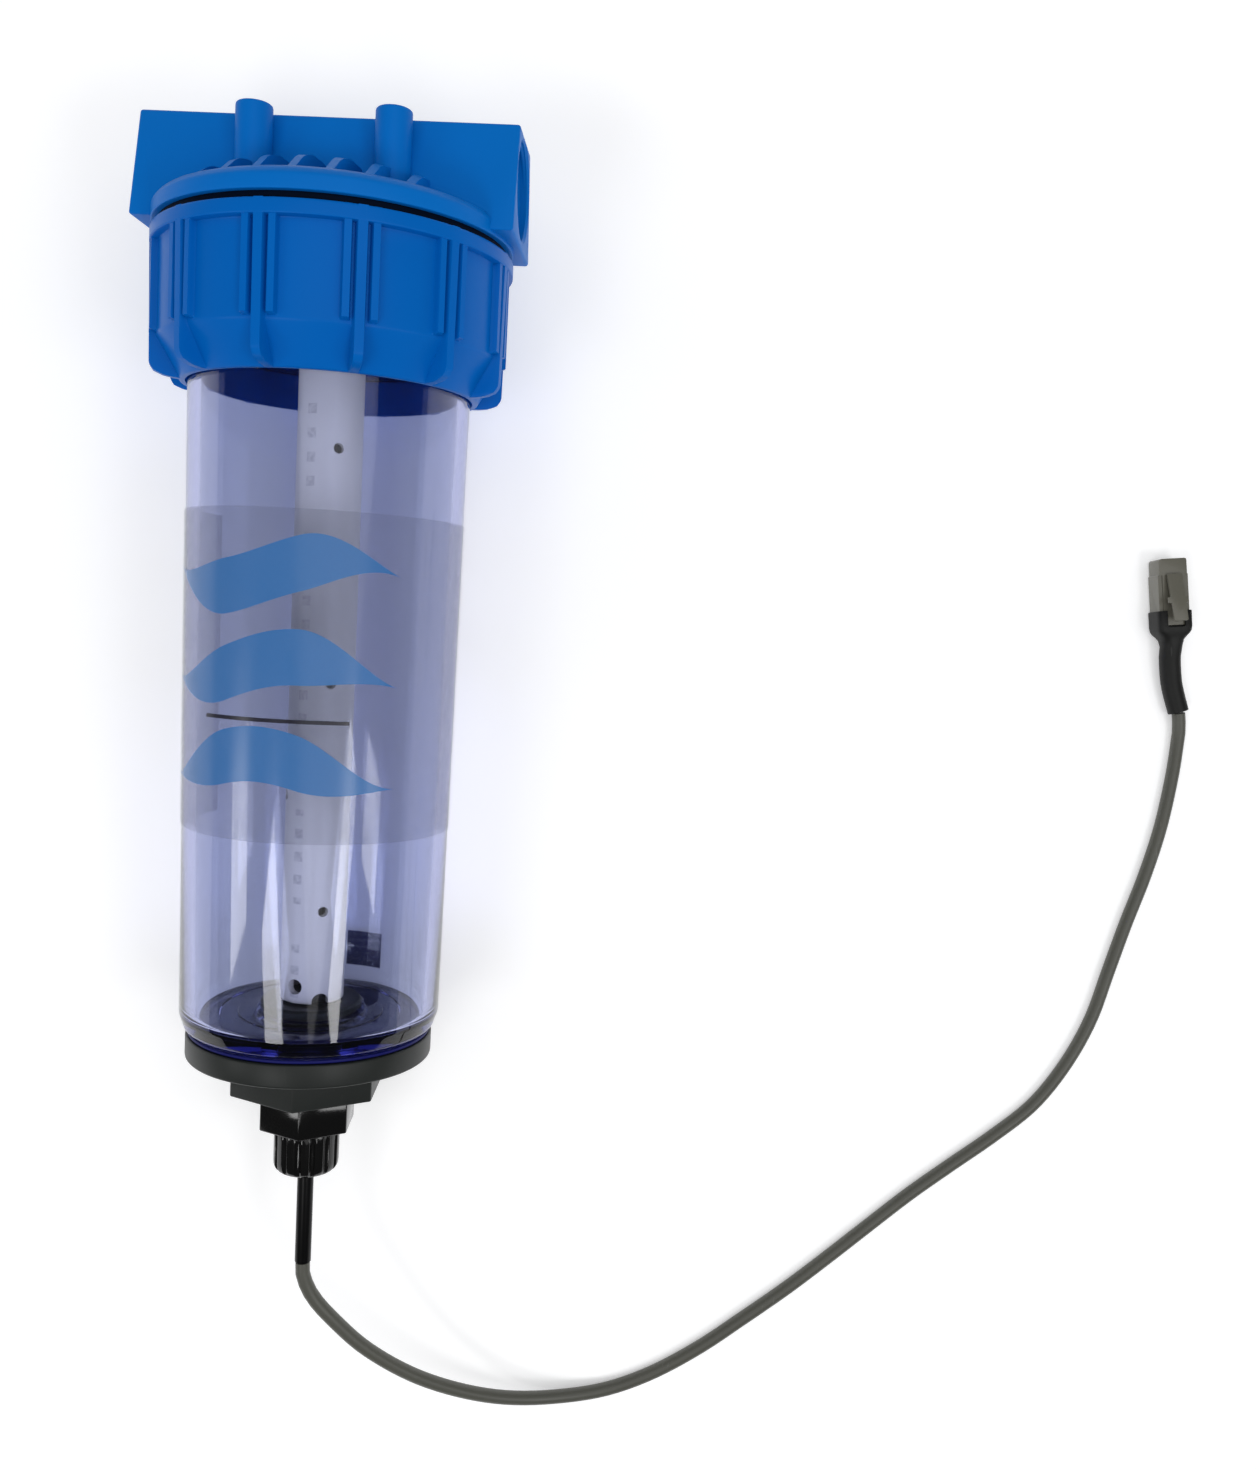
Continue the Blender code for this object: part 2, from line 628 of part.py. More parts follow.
def make_gland(cell, nylon, rubber):
    body = turned(
        "gland_body",
        [
            (0.0, GLAND_TOP), (9.1, GLAND_TOP), (9.1, GLAND_HEX_TOP - OVER), (8.6, GLAND_HEX_BOTTOM + OVER),
            (8.6, GLAND_STUB_BOTTOM), (0.0, GLAND_STUB_BOTTOM),
        ],
        cell, nylon, steps=SMALL_STEPS, ring=False,
    )
    height = GLAND_HEX_TOP - GLAND_HEX_BOTTOM
    hex_middle = (0.0, 0.0, GLAND_HEX_BOTTOM + height / 2)
    hex_twist = GLAND_HEX_TURN - 90.0
    join(body, rods("gland_hex", [hex_middle], GLAND_HEX_RADIUS, height, cell, steps=6, twist=hex_twist))
    cut(body, turned(
        "gland_bore",
        [
            (0.0, GLAND_TOP + OVER), (4.0, GLAND_TOP + OVER), (4.0, -247.5), (5.9, -247.5),
            (5.9, GLAND_STUB_BOTTOM - OVER), (0.0, GLAND_STUB_BOTTOM - OVER),
        ],
        cell, steps=SMALL_STEPS, ring=False,
    ))
    for name, outer, inner, top, bottom, finish in (
        ("gland_washer", 12.0, 9.5, -233.4, -234.2, rubber), ("gland_seal", 5.6, 3.1, -247.8, -254.7, rubber),
        ("gland_clamp_ring", 8.4, 3.3, -255.4, -257.0, nylon),
    ):
        ring = [(outer, top), (outer, bottom), (inner, bottom), (inner, top)]
        turned(name, ring, cell, finish, steps=SMALL_STEPS)
    dome = turned(
        "gland_dome_nut",
        [
            (DOME_RADIUS, DOME_TOP), (DOME_RADIUS, DOME_BOTTOM + 2.2), (DOME_RADIUS - 0.7, DOME_BOTTOM + 0.7),
            (DOME_RADIUS - 2.1, DOME_BOTTOM), (3.5, DOME_BOTTOM), (3.5, -257.4), (9.1, -257.4), (9.1, DOME_TOP),
        ],
        cell, nylon, steps=36,
    )
    flutes = []
    for number in range(DOME_FLUTES):
        angle = math.radians(number * 360.0 / DOME_FLUTES + 15.0)
        flutes.append(((DOME_RADIUS + 0.5) * math.cos(angle), (DOME_RADIUS + 0.5) * math.sin(angle), DOME_TOP - 5.0))
    cut(dome, rods("dome_flutes", flutes, 1.2, 20.0, cell, steps=8))


# ---- lead and plug ------------------------------------------------------------------------------------


def make_lead(cell, plug, black, grey):
    sleeve_middle = (0.0, 0.0, (SLEEVE_TOP + SLEEVE_BOTTOM) / 2)
    rods("cord_sleeve", [sleeve_middle], SLEEVE_RADIUS, SLEEVE_TOP - SLEEVE_BOTTOM, cell, finish=black, steps=16)
    route = square_ends(smooth_route(CORD_ROUTE, CORD_STEP), CORD_STRAIGHT, (0.0, -1.0, -0.06), (-0.27, 0.96, 0.02))
    tube("cord", route, CORD_RADIUS, None, finish=grey)
    boot = tube("plug_boot", smooth_route(BOOT_ROUTE, 3.0), BOOT_RADIUS, plug, finish=black, resolution=3)
    flare_low, flare_high = (-FLARE_WIDTH / 2, 0.0, 0.1), (FLARE_WIDTH / 2, FLARE_LENGTH, FLARE_TOP)
    join(boot, box("boot_flare", flare_low, flare_high, plug))
    pocket_low = (-PLUG_WIDTH / 2 - GAP, PLUG_BACK - GAP, PLUG_BOTTOM - GAP)
    pocket_high = (PLUG_WIDTH / 2 + GAP, FLARE_LENGTH + OVER, PLUG_TOP + GAP)
    cut(boot, box("boot_pocket", pocket_low, pocket_high, plug))
    return boot


def make_plug(plug, clear_plastic, gold):
    body = box(
        "plug_body", (-PLUG_WIDTH / 2, PLUG_BACK, PLUG_BOTTOM), (PLUG_WIDTH / 2, PLUG_FRONT, PLUG_TOP), plug,
        clear_plastic,
    )
    pocket_low = (-4.6, PLUG_FRONT - 6.0, PLUG_BOTTOM - OVER)
    pocket_high = (4.6, PLUG_FRONT - 0.9, PLUG_BOTTOM + 2.6)
    cut(body, box("contact_pocket", pocket_low, pocket_high, plug))
    for number in range(8):
        x = (number - 3.5) * 1.02
        low = (x - 0.2, PLUG_FRONT - 5.6, PLUG_BOTTOM + 0.3)
        high = (x + 0.2, PLUG_FRONT - 1.3, PLUG_BOTTOM + 2.3)
        box(f"plug_contact_{number + 1}", low, high, plug, gold)


def make_latch(plug, clear_plastic):
    """The latch arm rises backwards from its root near the nose. Its origin is on the root's bending line."""
    root = bpy.data.objects.new("latch_hinge", None)
    PARTS.objects.link(root)
    root.parent = plug
    root.location = Vector(LATCH_HINGE) * MM
    root.rotation_euler.x = math.radians(-LATCH_REST)
    arm = box("plug_latch", (-2.9, -LATCH_LENGTH, -0.5), (2.9, 0.6, 0.5), root, clear_plastic)
    join(arm, box("latch_lugs", (-4.0, -11.0, -0.9), (4.0, -8.6, 0.3), root))
    return arm


# ---- assembly -----------------------------------------------------------------------------------------


def build():
    blue = material("head_blue", (0.0, 0.13, 0.42), 0.42)
    nut_blue = material("nut_blue", (0.0, 0.14, 0.45), 0.38)
    clear = material("clear_bowl", (0.42, 0.45, 0.78), 0.06, alpha=0.35)
    film = material("label_film", (0.35, 0.5, 0.8), 0.25, alpha=0.5)
    sticker = material("rear_label", (0.12, 0.14, 0.3), 0.5)
    pipe_white = material("pipe_white", (0.62, 0.62, 0.66), 0.45)
    grey = material("bulkhead_grey", (0.035, 0.04, 0.038), 0.5)
    nylon = material("gland_black", (0.008, 0.008, 0.008), 0.16)
    rubber = material("seal_rubber", (0.01, 0.01, 0.01), 0.7)
    zinc = material("zinc", (0.45, 0.46, 0.47), 0.5, metallic=1.0)
    steel = material("steel", (0.5, 0.5, 0.5), 0.3, metallic=1.0)
    inner_plastic = material("inner_plastic", (0.7, 0.7, 0.68), 0.5)
    potting = material("potting", (0.012, 0.012, 0.012), 0.4)
    cord_grey = material("cord_grey", (0.12, 0.12, 0.1), 0.5)
    boot_black = material("boot_black", (0.01, 0.011, 0.01), 0.5)
    plug_clear = material("plug_clear", (0.16, 0.155, 0.13), 0.3, alpha=0.8)
    gold = material("contact_gold", (0.8, 0.55, 0.2), 0.25, metallic=1.0)

    cell = make_cell_empty()
    plug = make_plug_empty()
    make_head(cell, blue)
    make_guide_bush(cell, inner_plastic)
    make_ring_nut(cell, nut_blue)
    make_bowl(cell, clear)
    make_o_ring(cell, rubber)
    make_label("label_film", -40.5, -142.0, -106.0, 102.0, cell, film, 36)
    make_label("rear_label", -189.8, -202.8, 157.0, 177.0, cell, sticker, 5)
    make_pipe(cell, pipe_white)
    make_electrodes(cell, zinc, steel, inner_plastic, potting)
    make_bulkhead(cell, grey, rubber)
    make_gland(cell, nylon, rubber)
    make_lead(cell, plug, boot_black, cord_grey)
    make_plug(plug, plug_clear, gold)
    make_latch(plug, plug_clear)
    for made in PARTS.objects:
        if made.type == "MESH":
            round_shading(made)


build()
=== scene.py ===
"""A clear flow-through electrode cell lying on a pale floor: blue port head, ribbed ring nut, clear bowl
with a drilled pipe, grey bulkhead fitting, black cable gland and a grey lead that ends in a modular plug.

The cell is modelled upright in millimetres, its axis on Z, z = 0 at the ring nut's lower rim, the ports
along X and the front facing -Y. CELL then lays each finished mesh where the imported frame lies. The plug is
modelled in its own frame, its front along +Y, and PLUG puts it in place.
"""

import math

import bmesh
import bpy
from mathutils import Matrix, Vector


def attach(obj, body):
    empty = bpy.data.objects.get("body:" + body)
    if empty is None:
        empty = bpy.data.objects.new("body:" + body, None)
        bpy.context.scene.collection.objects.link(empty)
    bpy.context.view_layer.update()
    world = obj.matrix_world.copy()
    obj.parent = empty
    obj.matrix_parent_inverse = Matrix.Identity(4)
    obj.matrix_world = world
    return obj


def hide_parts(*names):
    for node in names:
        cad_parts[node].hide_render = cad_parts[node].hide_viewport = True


MM = 0.001
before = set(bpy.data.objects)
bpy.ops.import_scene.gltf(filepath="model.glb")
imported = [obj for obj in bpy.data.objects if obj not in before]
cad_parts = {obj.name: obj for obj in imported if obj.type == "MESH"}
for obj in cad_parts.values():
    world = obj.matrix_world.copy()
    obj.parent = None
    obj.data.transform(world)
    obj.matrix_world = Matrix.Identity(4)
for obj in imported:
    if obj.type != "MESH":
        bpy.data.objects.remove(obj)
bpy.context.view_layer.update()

# The cell's place on the ground, as in the part's source.
CELL_ROLL = 7.0
CELL_TILT = 3.44823
CELL_PLACE = (0.0, 88.52, 55.28343)
CELL = (
    Matrix.Translation(Vector(CELL_PLACE) * MM)
    @ Matrix.Rotation(math.radians(CELL_TILT - 90.0), 4, "X")
    @ Matrix.Rotation(math.radians(-CELL_ROLL), 4, "Z")
)
PLUG_PLACE = (316.7, 29.0, 0.0)
PLUG_TURN = 6.3
PLUG = Matrix.Translation(Vector(PLUG_PLACE) * MM) @ Matrix.Rotation(math.radians(PLUG_TURN), 4, "Z")
SIDEWAYS = Matrix(((0, 0, 1, 0), (1, 0, 0, 0), (0, 1, 0, 0), (0, 0, 0, 1)))  # flat X, Y to Y, Z
FINE = 144  # steps round the large turned pieces

# Sizes that more than one piece uses, in upright millimetres.
PORT_HEIGHT = 67.4
BAR_END = 60.2
BOSS_PLACES = [(x, y) for x in (-21.8, 21.8) for y in (-20.0, 20.0)]
BOWL_WALL = 4.2
FLOOR_TOP = -206.4
BOWL_BOTTOM = -210.7
LEAD_RADIUS = 2.5

# ---- camera -------------------------------------------------------------------------------------------

camera = bpy.data.objects.new("camera", bpy.data.cameras.new("camera"))
bpy.context.scene.collection.objects.link(camera)
bpy.context.scene.camera = camera
camera.location = Vector((62.47, -8.04, 506.02)) * MM
camera.rotation_euler = [math.radians(turn) for turn in (-1.5763, -5.0601, 2.7177)]
camera.data.lens = 32.88
camera.data.sensor_width = 36.0
camera.data.clip_start = 0.01

# ---- shader groups ------------------------------------------------------------------------------------


def new_group(name, inputs, outputs):
    group = bpy.data.node_groups.new(name, "ShaderNodeTree")
    for label, kind, value in inputs:
        socket = group.interface.new_socket(name=label, in_out="INPUT", socket_type=kind)
        if value is not None:
            socket.default_value = value
    for label, kind in outputs:
        group.interface.new_socket(name=label, in_out="OUTPUT", socket_type=kind)
    tree = Tree(group)
    return group, tree, tree.add("NodeGroupInput"), tree.add("NodeGroupOutput")


class Tree:
    """Short words for adding and joining nodes."""

    def __init__(self, tree):
        self.tree = tree

    def add(self, kind, **settings):
        node = self.tree.nodes.new(kind)
        inputs = settings.pop("inputs", {})
        for key, value in settings.items():
            setattr(node, key, value)
        return self.fill(node, inputs)

    def fill(self, node, inputs):
        for key, value in inputs.items():
            self.feed(value, node.inputs[key])
        return node

    def feed(self, value, socket):
        if isinstance(value, bpy.types.NodeSocket):
            self.tree.links.new(value, socket)
        else:
            socket.default_value = value

    def math(self, operation, *values, clamp=False):
        node = self.add("ShaderNodeMath", operation=operation, use_clamp=clamp)
        for value, socket in zip(values, node.inputs):
            self.feed(value, socket)
        return node.outputs[0]

    def mix(self, factor, first, second):
        node = self.add("ShaderNodeMix", data_type="RGBA")
        for value, socket in zip((factor, first, second), (node.inputs[0], node.inputs[6], node.inputs[7])):
            self.feed(value, socket)
        return node.outputs[2]

    def ramp(self, value, low, high, start=0.0, end=1.0, smooth=True):
        node = self.add("ShaderNodeMapRange", interpolation_type="SMOOTHSTEP" if smooth else "LINEAR")
        for socket, given in zip(node.inputs, (value, low, high, start, end)):
            self.feed(given, socket)
        return node.outputs[0]

    def noise(self, vector, scale, detail=3.0, roughness=0.55):
        given = {"Vector": vector, "Scale": scale, "Detail": detail, "Roughness": roughness}
        return self.add("ShaderNodeTexNoise", inputs=given).outputs["Fac"]

    def scaled(self, colour, factor):
        inputs = {0: colour, "Scale": factor}
        return self.add("ShaderNodeVectorMath", operation="SCALE", inputs=inputs).outputs[0]

    def away(self, value, centre):
        return self.math("ABSOLUTE", self.math("SUBTRACT", value, centre))


def moulded_group():
    """Fine moulding grain with faint flow marks: outputs a colour factor, a roughness and a height."""
    group, tree, given, result = new_group(
        "moulded_surface",
        [
            ("Vector", "NodeSocketVector", None), ("Grain Scale", "NodeSocketFloat", 2600.0),
            ("Tone", "NodeSocketFloat", 0.06), ("Roughness", "NodeSocketFloat", 0.4),
            ("Spread", "NodeSocketFloat", 0.08),
        ],
        [("Tone", "NodeSocketFloat"), ("Roughness", "NodeSocketFloat"), ("Height", "NodeSocketFloat")],
    )
    vector = given.outputs["Vector"]
    cloud = tree.noise(vector, 28.0, 4.0)
    grain = tree.noise(vector, given.outputs["Grain Scale"], 2.0, 0.6)
    wide = tree.math("MULTIPLY", given.outputs["Tone"], 2.0)
    tone = tree.math("ADD", tree.math("MULTIPLY", tree.math("SUBTRACT", cloud, 0.5), wide), 1.0)
    speck = tree.math("MULTIPLY", tree.math("SUBTRACT", grain, 0.5), given.outputs["Tone"])
    tree.feed(tree.math("ADD", tone, speck), result.inputs["Tone"])
    spread = tree.math(
        "MULTIPLY", tree.math("SUBTRACT", tree.noise(vector, 70.0, 5.0), 0.5), given.outputs["Spread"],
    )
    tree.feed(tree.math("ADD", given.outputs["Roughness"], spread, clamp=True), result.inputs["Roughness"])
    tree.feed(grain, result.inputs["Height"])
    return group


def wear_group():
    """A mask of scuffs and dust: bright where fine scratches or settled dust lie."""
    group, tree, given, result = new_group(
        "scuffs",
        [("Vector", "NodeSocketVector", None), ("Amount", "NodeSocketFloat", 0.3)],
        [("Mask", "NodeSocketFloat")],
    )
    turned_and_stretched = {
        "Vector": given.outputs["Vector"], "Scale": (900.0, 90.0, 900.0), "Rotation": (0.2, 0.3, 0.5),
    }
    stretched = tree.add("ShaderNodeMapping", inputs=turned_and_stretched)
    streaks = tree.ramp(tree.noise(stretched.outputs[0], 1.0, 2.0), 0.66, 0.78)
    patches = tree.ramp(tree.noise(given.outputs["Vector"], 55.0, 4.0), 0.45, 0.7)
    mask = tree.math("MULTIPLY", tree.math("MULTIPLY", streaks, patches), given.outputs["Amount"])
    tree.feed(mask, result.inputs["Mask"])
    return group


MOULDED = moulded_group()
SCUFFS = wear_group()


def place_group(tree, group, **values):
    node = tree.add("ShaderNodeGroup", node_tree=group)
    for label, value in values.items():
        tree.feed(value, node.inputs[label.replace("_", " ")])
    return node


def new_material(name):
    made = bpy.data.materials.new(name)
    made.use_nodes = True
    tree = Tree(made.node_tree)
    shader = made.node_tree.nodes["Principled BSDF"]
    vector = tree.add("ShaderNodeTexCoord").outputs["Object"]
    return made, tree, shader, vector


def add_relief(tree, shader, height, strength, distance):
    """A fine relief of the surface, its distance in metres."""
    relief = tree.add("ShaderNodeBump", inputs={"Height": height, "Strength": strength, "Distance": distance})
    tree.feed(relief.outputs[0], shader.inputs["Normal"])


def plastic(
    name, colour, roughness, tone=0.06, grain=2600.0, bump=0.05, scuffs=0.0, dust=(0.6, 0.6, 0.58),
    level=0.5, coat=0.0, spread=0.08,
):
    """Moulded plastic, rubber or resin, with its grain, tone and scuffs."""
    made, tree, shader, vector = new_material(name)
    surface = place_group(
        tree, MOULDED, Vector=vector, Grain_Scale=grain, Tone=tone, Roughness=roughness, Spread=spread,
    )
    base = tree.scaled(colour, surface.outputs["Tone"])
    if scuffs:
        marks = place_group(tree, SCUFFS, Vector=vector, Amount=scuffs)
        base = tree.mix(marks.outputs["Mask"], base, (*dust, 1.0))
    tree.fill(shader, {
        "Base Color": base, "Roughness": surface.outputs["Roughness"], "Specular IOR Level": level,
        "Coat Weight": coat, "Coat Roughness": 0.12,
    })
    add_relief(tree, shader, surface.outputs["Height"], bump, 0.0002)
    return made


def metal(name, colour, roughness, brushed=900.0, dull=0.3):
    made, tree, shader, vector = new_material(name)
    inputs = {"Vector": vector, "Scale": (brushed, brushed / 30, brushed)}
    stretched = tree.add("ShaderNodeMapping", inputs=inputs)
    lines = tree.noise(stretched.outputs[0], 1.0, 3.0)
    cloud = tree.noise(vector, 160.0, 4.0)
    tree.feed(
        tree.mix(tree.math("MULTIPLY", cloud, dull), (*colour, 1.0), (*[c * 0.5 for c in colour], 1.0)),
        shader.inputs["Base Color"],
    )
    tree.feed(tree.ramp(lines, 0.2, 0.8, roughness - 0.08, roughness + 0.1), shader.inputs["Roughness"])
    shader.inputs["Metallic"].default_value = 1.0
    add_relief(tree, shader, lines, 0.1, 0.0001)
    return made


def clear_plastic(name, colour, absorb, density, roughness=0.03, wave=0.02, passing=(0.8, 0.82, 0.9)):
    """Clear plastic whose tint deepens with thickness. Lamp light passes straight through it."""
    made, tree, shader, vector = new_material(name)
    tree.fill(shader, {"Base Color": (*colour, 1.0), "Transmission Weight": 1.0, "IOR": 1.49})
    smears = tree.noise(vector, 45.0, 4.0)
    tree.feed(tree.ramp(smears, 0.35, 0.8, roughness, roughness + 0.035), shader.inputs["Roughness"])
    if wave:
        add_relief(tree, shader, tree.noise(vector, 40.0, 1.0), wave, 0.001)
    path = tree.add("ShaderNodeLightPath")
    through = tree.add("ShaderNodeBsdfTransparent", inputs={"Color": (*passing, 1.0)})
    mixed = tree.add("ShaderNodeMixShader", inputs={0: path.outputs["Is Shadow Ray"]})
    output = made.node_tree.nodes["Material Output"]
    tree.feed(shader.outputs[0], mixed.inputs[1])
    tree.feed(through.outputs[0], mixed.inputs[2])
    tree.feed(mixed.outputs[0], output.inputs["Surface"])
    if density:
        inside = tree.add("ShaderNodeVolumeAbsorption", inputs={"Color": (*absorb, 1.0), "Density": density})
        tree.feed(inside.outputs[0], output.inputs["Volume"])
    return made


# The label's waves and rule, in metres: height up the film, and places round it from the front.
WAVES = ((-0.060, 0.4), (-0.090, 1.3), (-0.120, 2.2))  # height of each wave, and its phase in radians
WAVE_HALF_DEPTH = 0.0085
WAVE_SWING = 0.0050
WAVE_LENGTH = 0.085
WAVE_LEFT = -0.052
WAVE_RIGHT = 0.036
WAVE_TIP = 0.032
RULE_HEIGHT = -0.1045
RULE_CENTRE = -0.004
RULE_HALF_WIDTH = 0.024
RULE_HALF_DEPTH = 0.0006


def label_material():
    """A clear film with soft waves printed on it in translucent blue, and a plain dark rule.

    It reads the film's own UV: U runs round the bowl and V up it, both in metres."""
    made, tree, shader, vector = new_material("printed_film")
    film = tree.add("ShaderNodeUVMap", uv_map="film").outputs[0]
    split = tree.add("ShaderNodeSeparateXYZ", inputs={0: film})
    across, up = split.outputs[0], split.outputs[1]
    printed = 0.0
    for centre, shift in WAVES:
        turn = tree.math("ADD", tree.math("MULTIPLY", across, 2 * math.pi / WAVE_LENGTH), shift)
        line = tree.math("ADD", tree.math("MULTIPLY", tree.math("SINE", turn), WAVE_SWING), centre)
        away = tree.away(up, line)
        start = tree.ramp(across, WAVE_LEFT, WAVE_LEFT + WAVE_TIP, 0.0, 1.0)
        taper = tree.math(
            "MULTIPLY", start, tree.ramp(across, WAVE_RIGHT - WAVE_TIP, WAVE_RIGHT, WAVE_HALF_DEPTH, 0.0),
        )
        band = tree.math("GREATER_THAN", taper, away)
        printed = band if printed == 0.0 else tree.math("MAXIMUM", printed, band)
    rule_up = tree.math("LESS_THAN", tree.away(up, RULE_HEIGHT), RULE_HALF_DEPTH)
    rule_across = tree.math("LESS_THAN", tree.away(across, RULE_CENTRE), RULE_HALF_WIDTH)
    rule = tree.math("MULTIPLY", rule_up, rule_across)
    surface = place_group(
        tree, MOULDED, Vector=vector, Grain_Scale=900.0, Tone=0.05, Roughness=0.22, Spread=0.15,
    )
    ink = tree.scaled((0.05, 0.19, 0.48), surface.outputs["Tone"])
    colour = tree.mix(printed, (0.10, 0.11, 0.17, 1.0), ink)
    colour = tree.mix(rule, colour, (0.02, 0.02, 0.035, 1.0))
    tree.feed(colour, shader.inputs["Base Color"])
    cover = tree.math("MAXIMUM", tree.math("MULTIPLY", printed, 0.8), tree.math("MULTIPLY", rule, 0.9))
    tree.feed(tree.math("MAXIMUM", cover, 0.13), shader.inputs["Alpha"])
    tree.feed(surface.outputs["Roughness"], shader.inputs["Roughness"])
    return made


def sticker_material():
    """A small dark film with plain bars where print would be."""
    made, tree, shader, vector = new_material("dark_sticker")
    film = tree.add("ShaderNodeUVMap", uv_map="film").outputs[0]
    split = tree.add("ShaderNodeSeparateXYZ", inputs={0: film})
    rows = tree.math("FRACT", tree.math("MULTIPLY", split.outputs[1], 420.0))
    bars = tree.math(
        "MULTIPLY", tree.math("GREATER_THAN", rows, 0.7),
        tree.ramp(tree.noise(film, 700.0, 0.0), 0.4, 0.42),
    )
    cloud = tree.noise(vector, 200.0, 3.0)
    dark = tree.mix(cloud, (0.055, 0.06, 0.15, 1.0), (0.09, 0.095, 0.2, 1.0))
    tree.feed(
        tree.mix(tree.math("MULTIPLY", bars, 0.25), dark, (0.3, 0.3, 0.4, 1.0)),
        shader.inputs["Base Color"],
    )
    tree.feed(tree.ramp(cloud, 0.3, 0.7, 0.35, 0.5), shader.inputs["Roughness"])
    shader.inputs["Alpha"].default_value = 0.8
    return made


def pipe_material():
    """White pipe plastic with a faint row of plain grey dashes down one side."""
    made, tree, shader, vector = new_material("pipe_plastic")
    rolled = tree.add("ShaderNodeUVMap", uv_map="film").outputs[0]
    split = tree.add("ShaderNodeSeparateXYZ", inputs={0: rolled})
    across, up = split.outputs[0], split.outputs[1]
    column = tree.math("LESS_THAN", tree.away(across, -0.0035), 0.0016)
    step = tree.math("FRACT", tree.math("MULTIPLY", up, 130.0))
    dash = tree.math("MULTIPLY", column, tree.math("LESS_THAN", step, 0.42))
    groups = tree.math("GREATER_THAN", tree.math("FRACT", tree.math("MULTIPLY", up, 22.0)), 0.3)
    faded = tree.math(
        "MULTIPLY", tree.math("MULTIPLY", dash, groups),
        tree.ramp(tree.noise(vector, 900.0, 2.0), 0.3, 0.7, 0.1, 0.4),
    )
    surface = place_group(
        tree, MOULDED, Vector=vector, Grain_Scale=1400.0, Tone=0.05, Roughness=0.42, Spread=0.1,
    )
    white = tree.scaled((0.94, 0.91, 0.86), surface.outputs["Tone"])
    tree.feed(tree.mix(faded, white, (0.2, 0.2, 0.26, 1.0)), shader.inputs["Base Color"])
    tree.feed(surface.outputs["Roughness"], shader.inputs["Roughness"])
    add_relief(tree, shader, surface.outputs["Height"], 0.04, 0.0002)
    return made


# ---- shapes -------------------------------------------------------------------------------------------


def scene_object(name, data):
    made = bpy.data.objects.new(name, data)
    bpy.context.scene.collection.objects.link(made)
    return made


def settled(made, place=None, weld=0.000002):
    """Applies the modifiers, puts the mesh in its place and welds it, with the object left at the origin."""
    graph = bpy.context.evaluated_depsgraph_get()
    mesh = bpy.data.meshes.new_from_object(made.evaluated_get(graph))
    mesh.transform(made.matrix_basis)
    if place is not None:
        mesh.transform(place)
    name = made.name
    bpy.data.objects.remove(made)
    body = bmesh.new()
    body.from_mesh(mesh)
    bmesh.ops.remove_doubles(body, verts=body.verts, dist=weld)
    bmesh.ops.recalc_face_normals(body, faces=body.faces)
    body.to_mesh(mesh)
    body.free()
    mesh.name = name
    return scene_object(name, mesh)


def shaded(made, angle=35.0):
    made.data.shade_smooth()
    made.data.set_sharp_from_angle(angle=math.radians(angle))
    return made


def finish(made, material, body, slot, *nodes):
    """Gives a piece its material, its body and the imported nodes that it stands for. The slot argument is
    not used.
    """
    if made.type == "MESH":
        shaded(made)
    made.data.materials.clear()
    made.data.materials.append(material)
    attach(made, body)
    if nodes:
        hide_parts(*nodes)
    return made


def rounded(points, closed=True, parts=3):
    """An outline whose corners, given as (x, y, radius), are turned into short arcs."""
    outline = []
    for i, (x, y, *radius) in enumerate(points):
        corner = Vector((x, y))
        if not radius or (not closed and i in (0, len(points) - 1)):
            outline.append((x, y))
            continue
        before, after = Vector(points[i - 1][:2]) - corner, Vector(points[(i + 1) % len(points)][:2]) - corner
        reach = radius[0] / math.tan(before.angle(after) / 2)
        reach = min(reach, 0.49 * before.length, 0.49 * after.length)
        start, end = corner + before.normalized() * reach, corner + after.normalized() * reach
        for step in range(parts + 1):
            t = step / parts
            outline.append(tuple((1 - t) ** 2 * start + 2 * t * (1 - t) * corner + t * t * end))
    return outline


def turned(name, outline, steps=FINE, closed=True, place=CELL):
    """Turns an outline of (radius, height) about Z, from top to bottom on its outer side."""
    mesh = bpy.data.meshes.new(name)
    edges = [(i, i + 1) for i in range(len(outline) - 1)]
    if closed:
        edges.append((len(outline) - 1, 0))
    mesh.from_pydata([(radius * MM, 0.0, height * MM) for radius, height in outline], edges, [])
    made = scene_object(name, mesh)
    screw = made.modifiers.new("turn", "SCREW")
    screw.steps = screw.render_steps = steps
    screw.use_merge_vertices = True
    screw.merge_threshold = 0.00001
    return settled(made, place)


def flat_ring(outer, inner, top, bottom, corner=0.3):
    """The outline of a flat ring with both outer corners rounded."""
    return rounded([(outer, top, corner), (outer, bottom, corner), (inner, bottom), (inner, top)])


def extruded(name, outline, thickness, place, bevel=0.0, segments=3):
    """A flat outline in X and Y, thickened evenly to both sides, with rounded edges."""
    body = bmesh.new()
    low = [body.verts.new((x * MM, y * MM, -thickness * MM / 2)) for x, y in outline]
    face = body.faces.new(low)
    moved = bmesh.ops.extrude_face_region(body, geom=[face])
    for vertex in (item for item in moved["geom"] if isinstance(item, bmesh.types.BMVert)):
        vertex.co.z = thickness * MM / 2
    bmesh.ops.recalc_face_normals(body, faces=body.faces)
    mesh = bpy.data.meshes.new(name)
    body.to_mesh(mesh)
    body.free()
    made = scene_object(name, mesh)
    if bevel:
        rounding = made.modifiers.new("rounding", "BEVEL")
        rounding.width = bevel * MM
        rounding.segments = segments
        rounding.limit_method = "ANGLE"
        rounding.angle_limit = math.radians(25)
    return settled(made, place)


def polar(radius, degrees):
    return radius * math.cos(math.radians(degrees)), radius * math.sin(math.radians(degrees))


def box(left, low, right, high):
    return [(left, low), (right, low), (right, high), (left, high)]


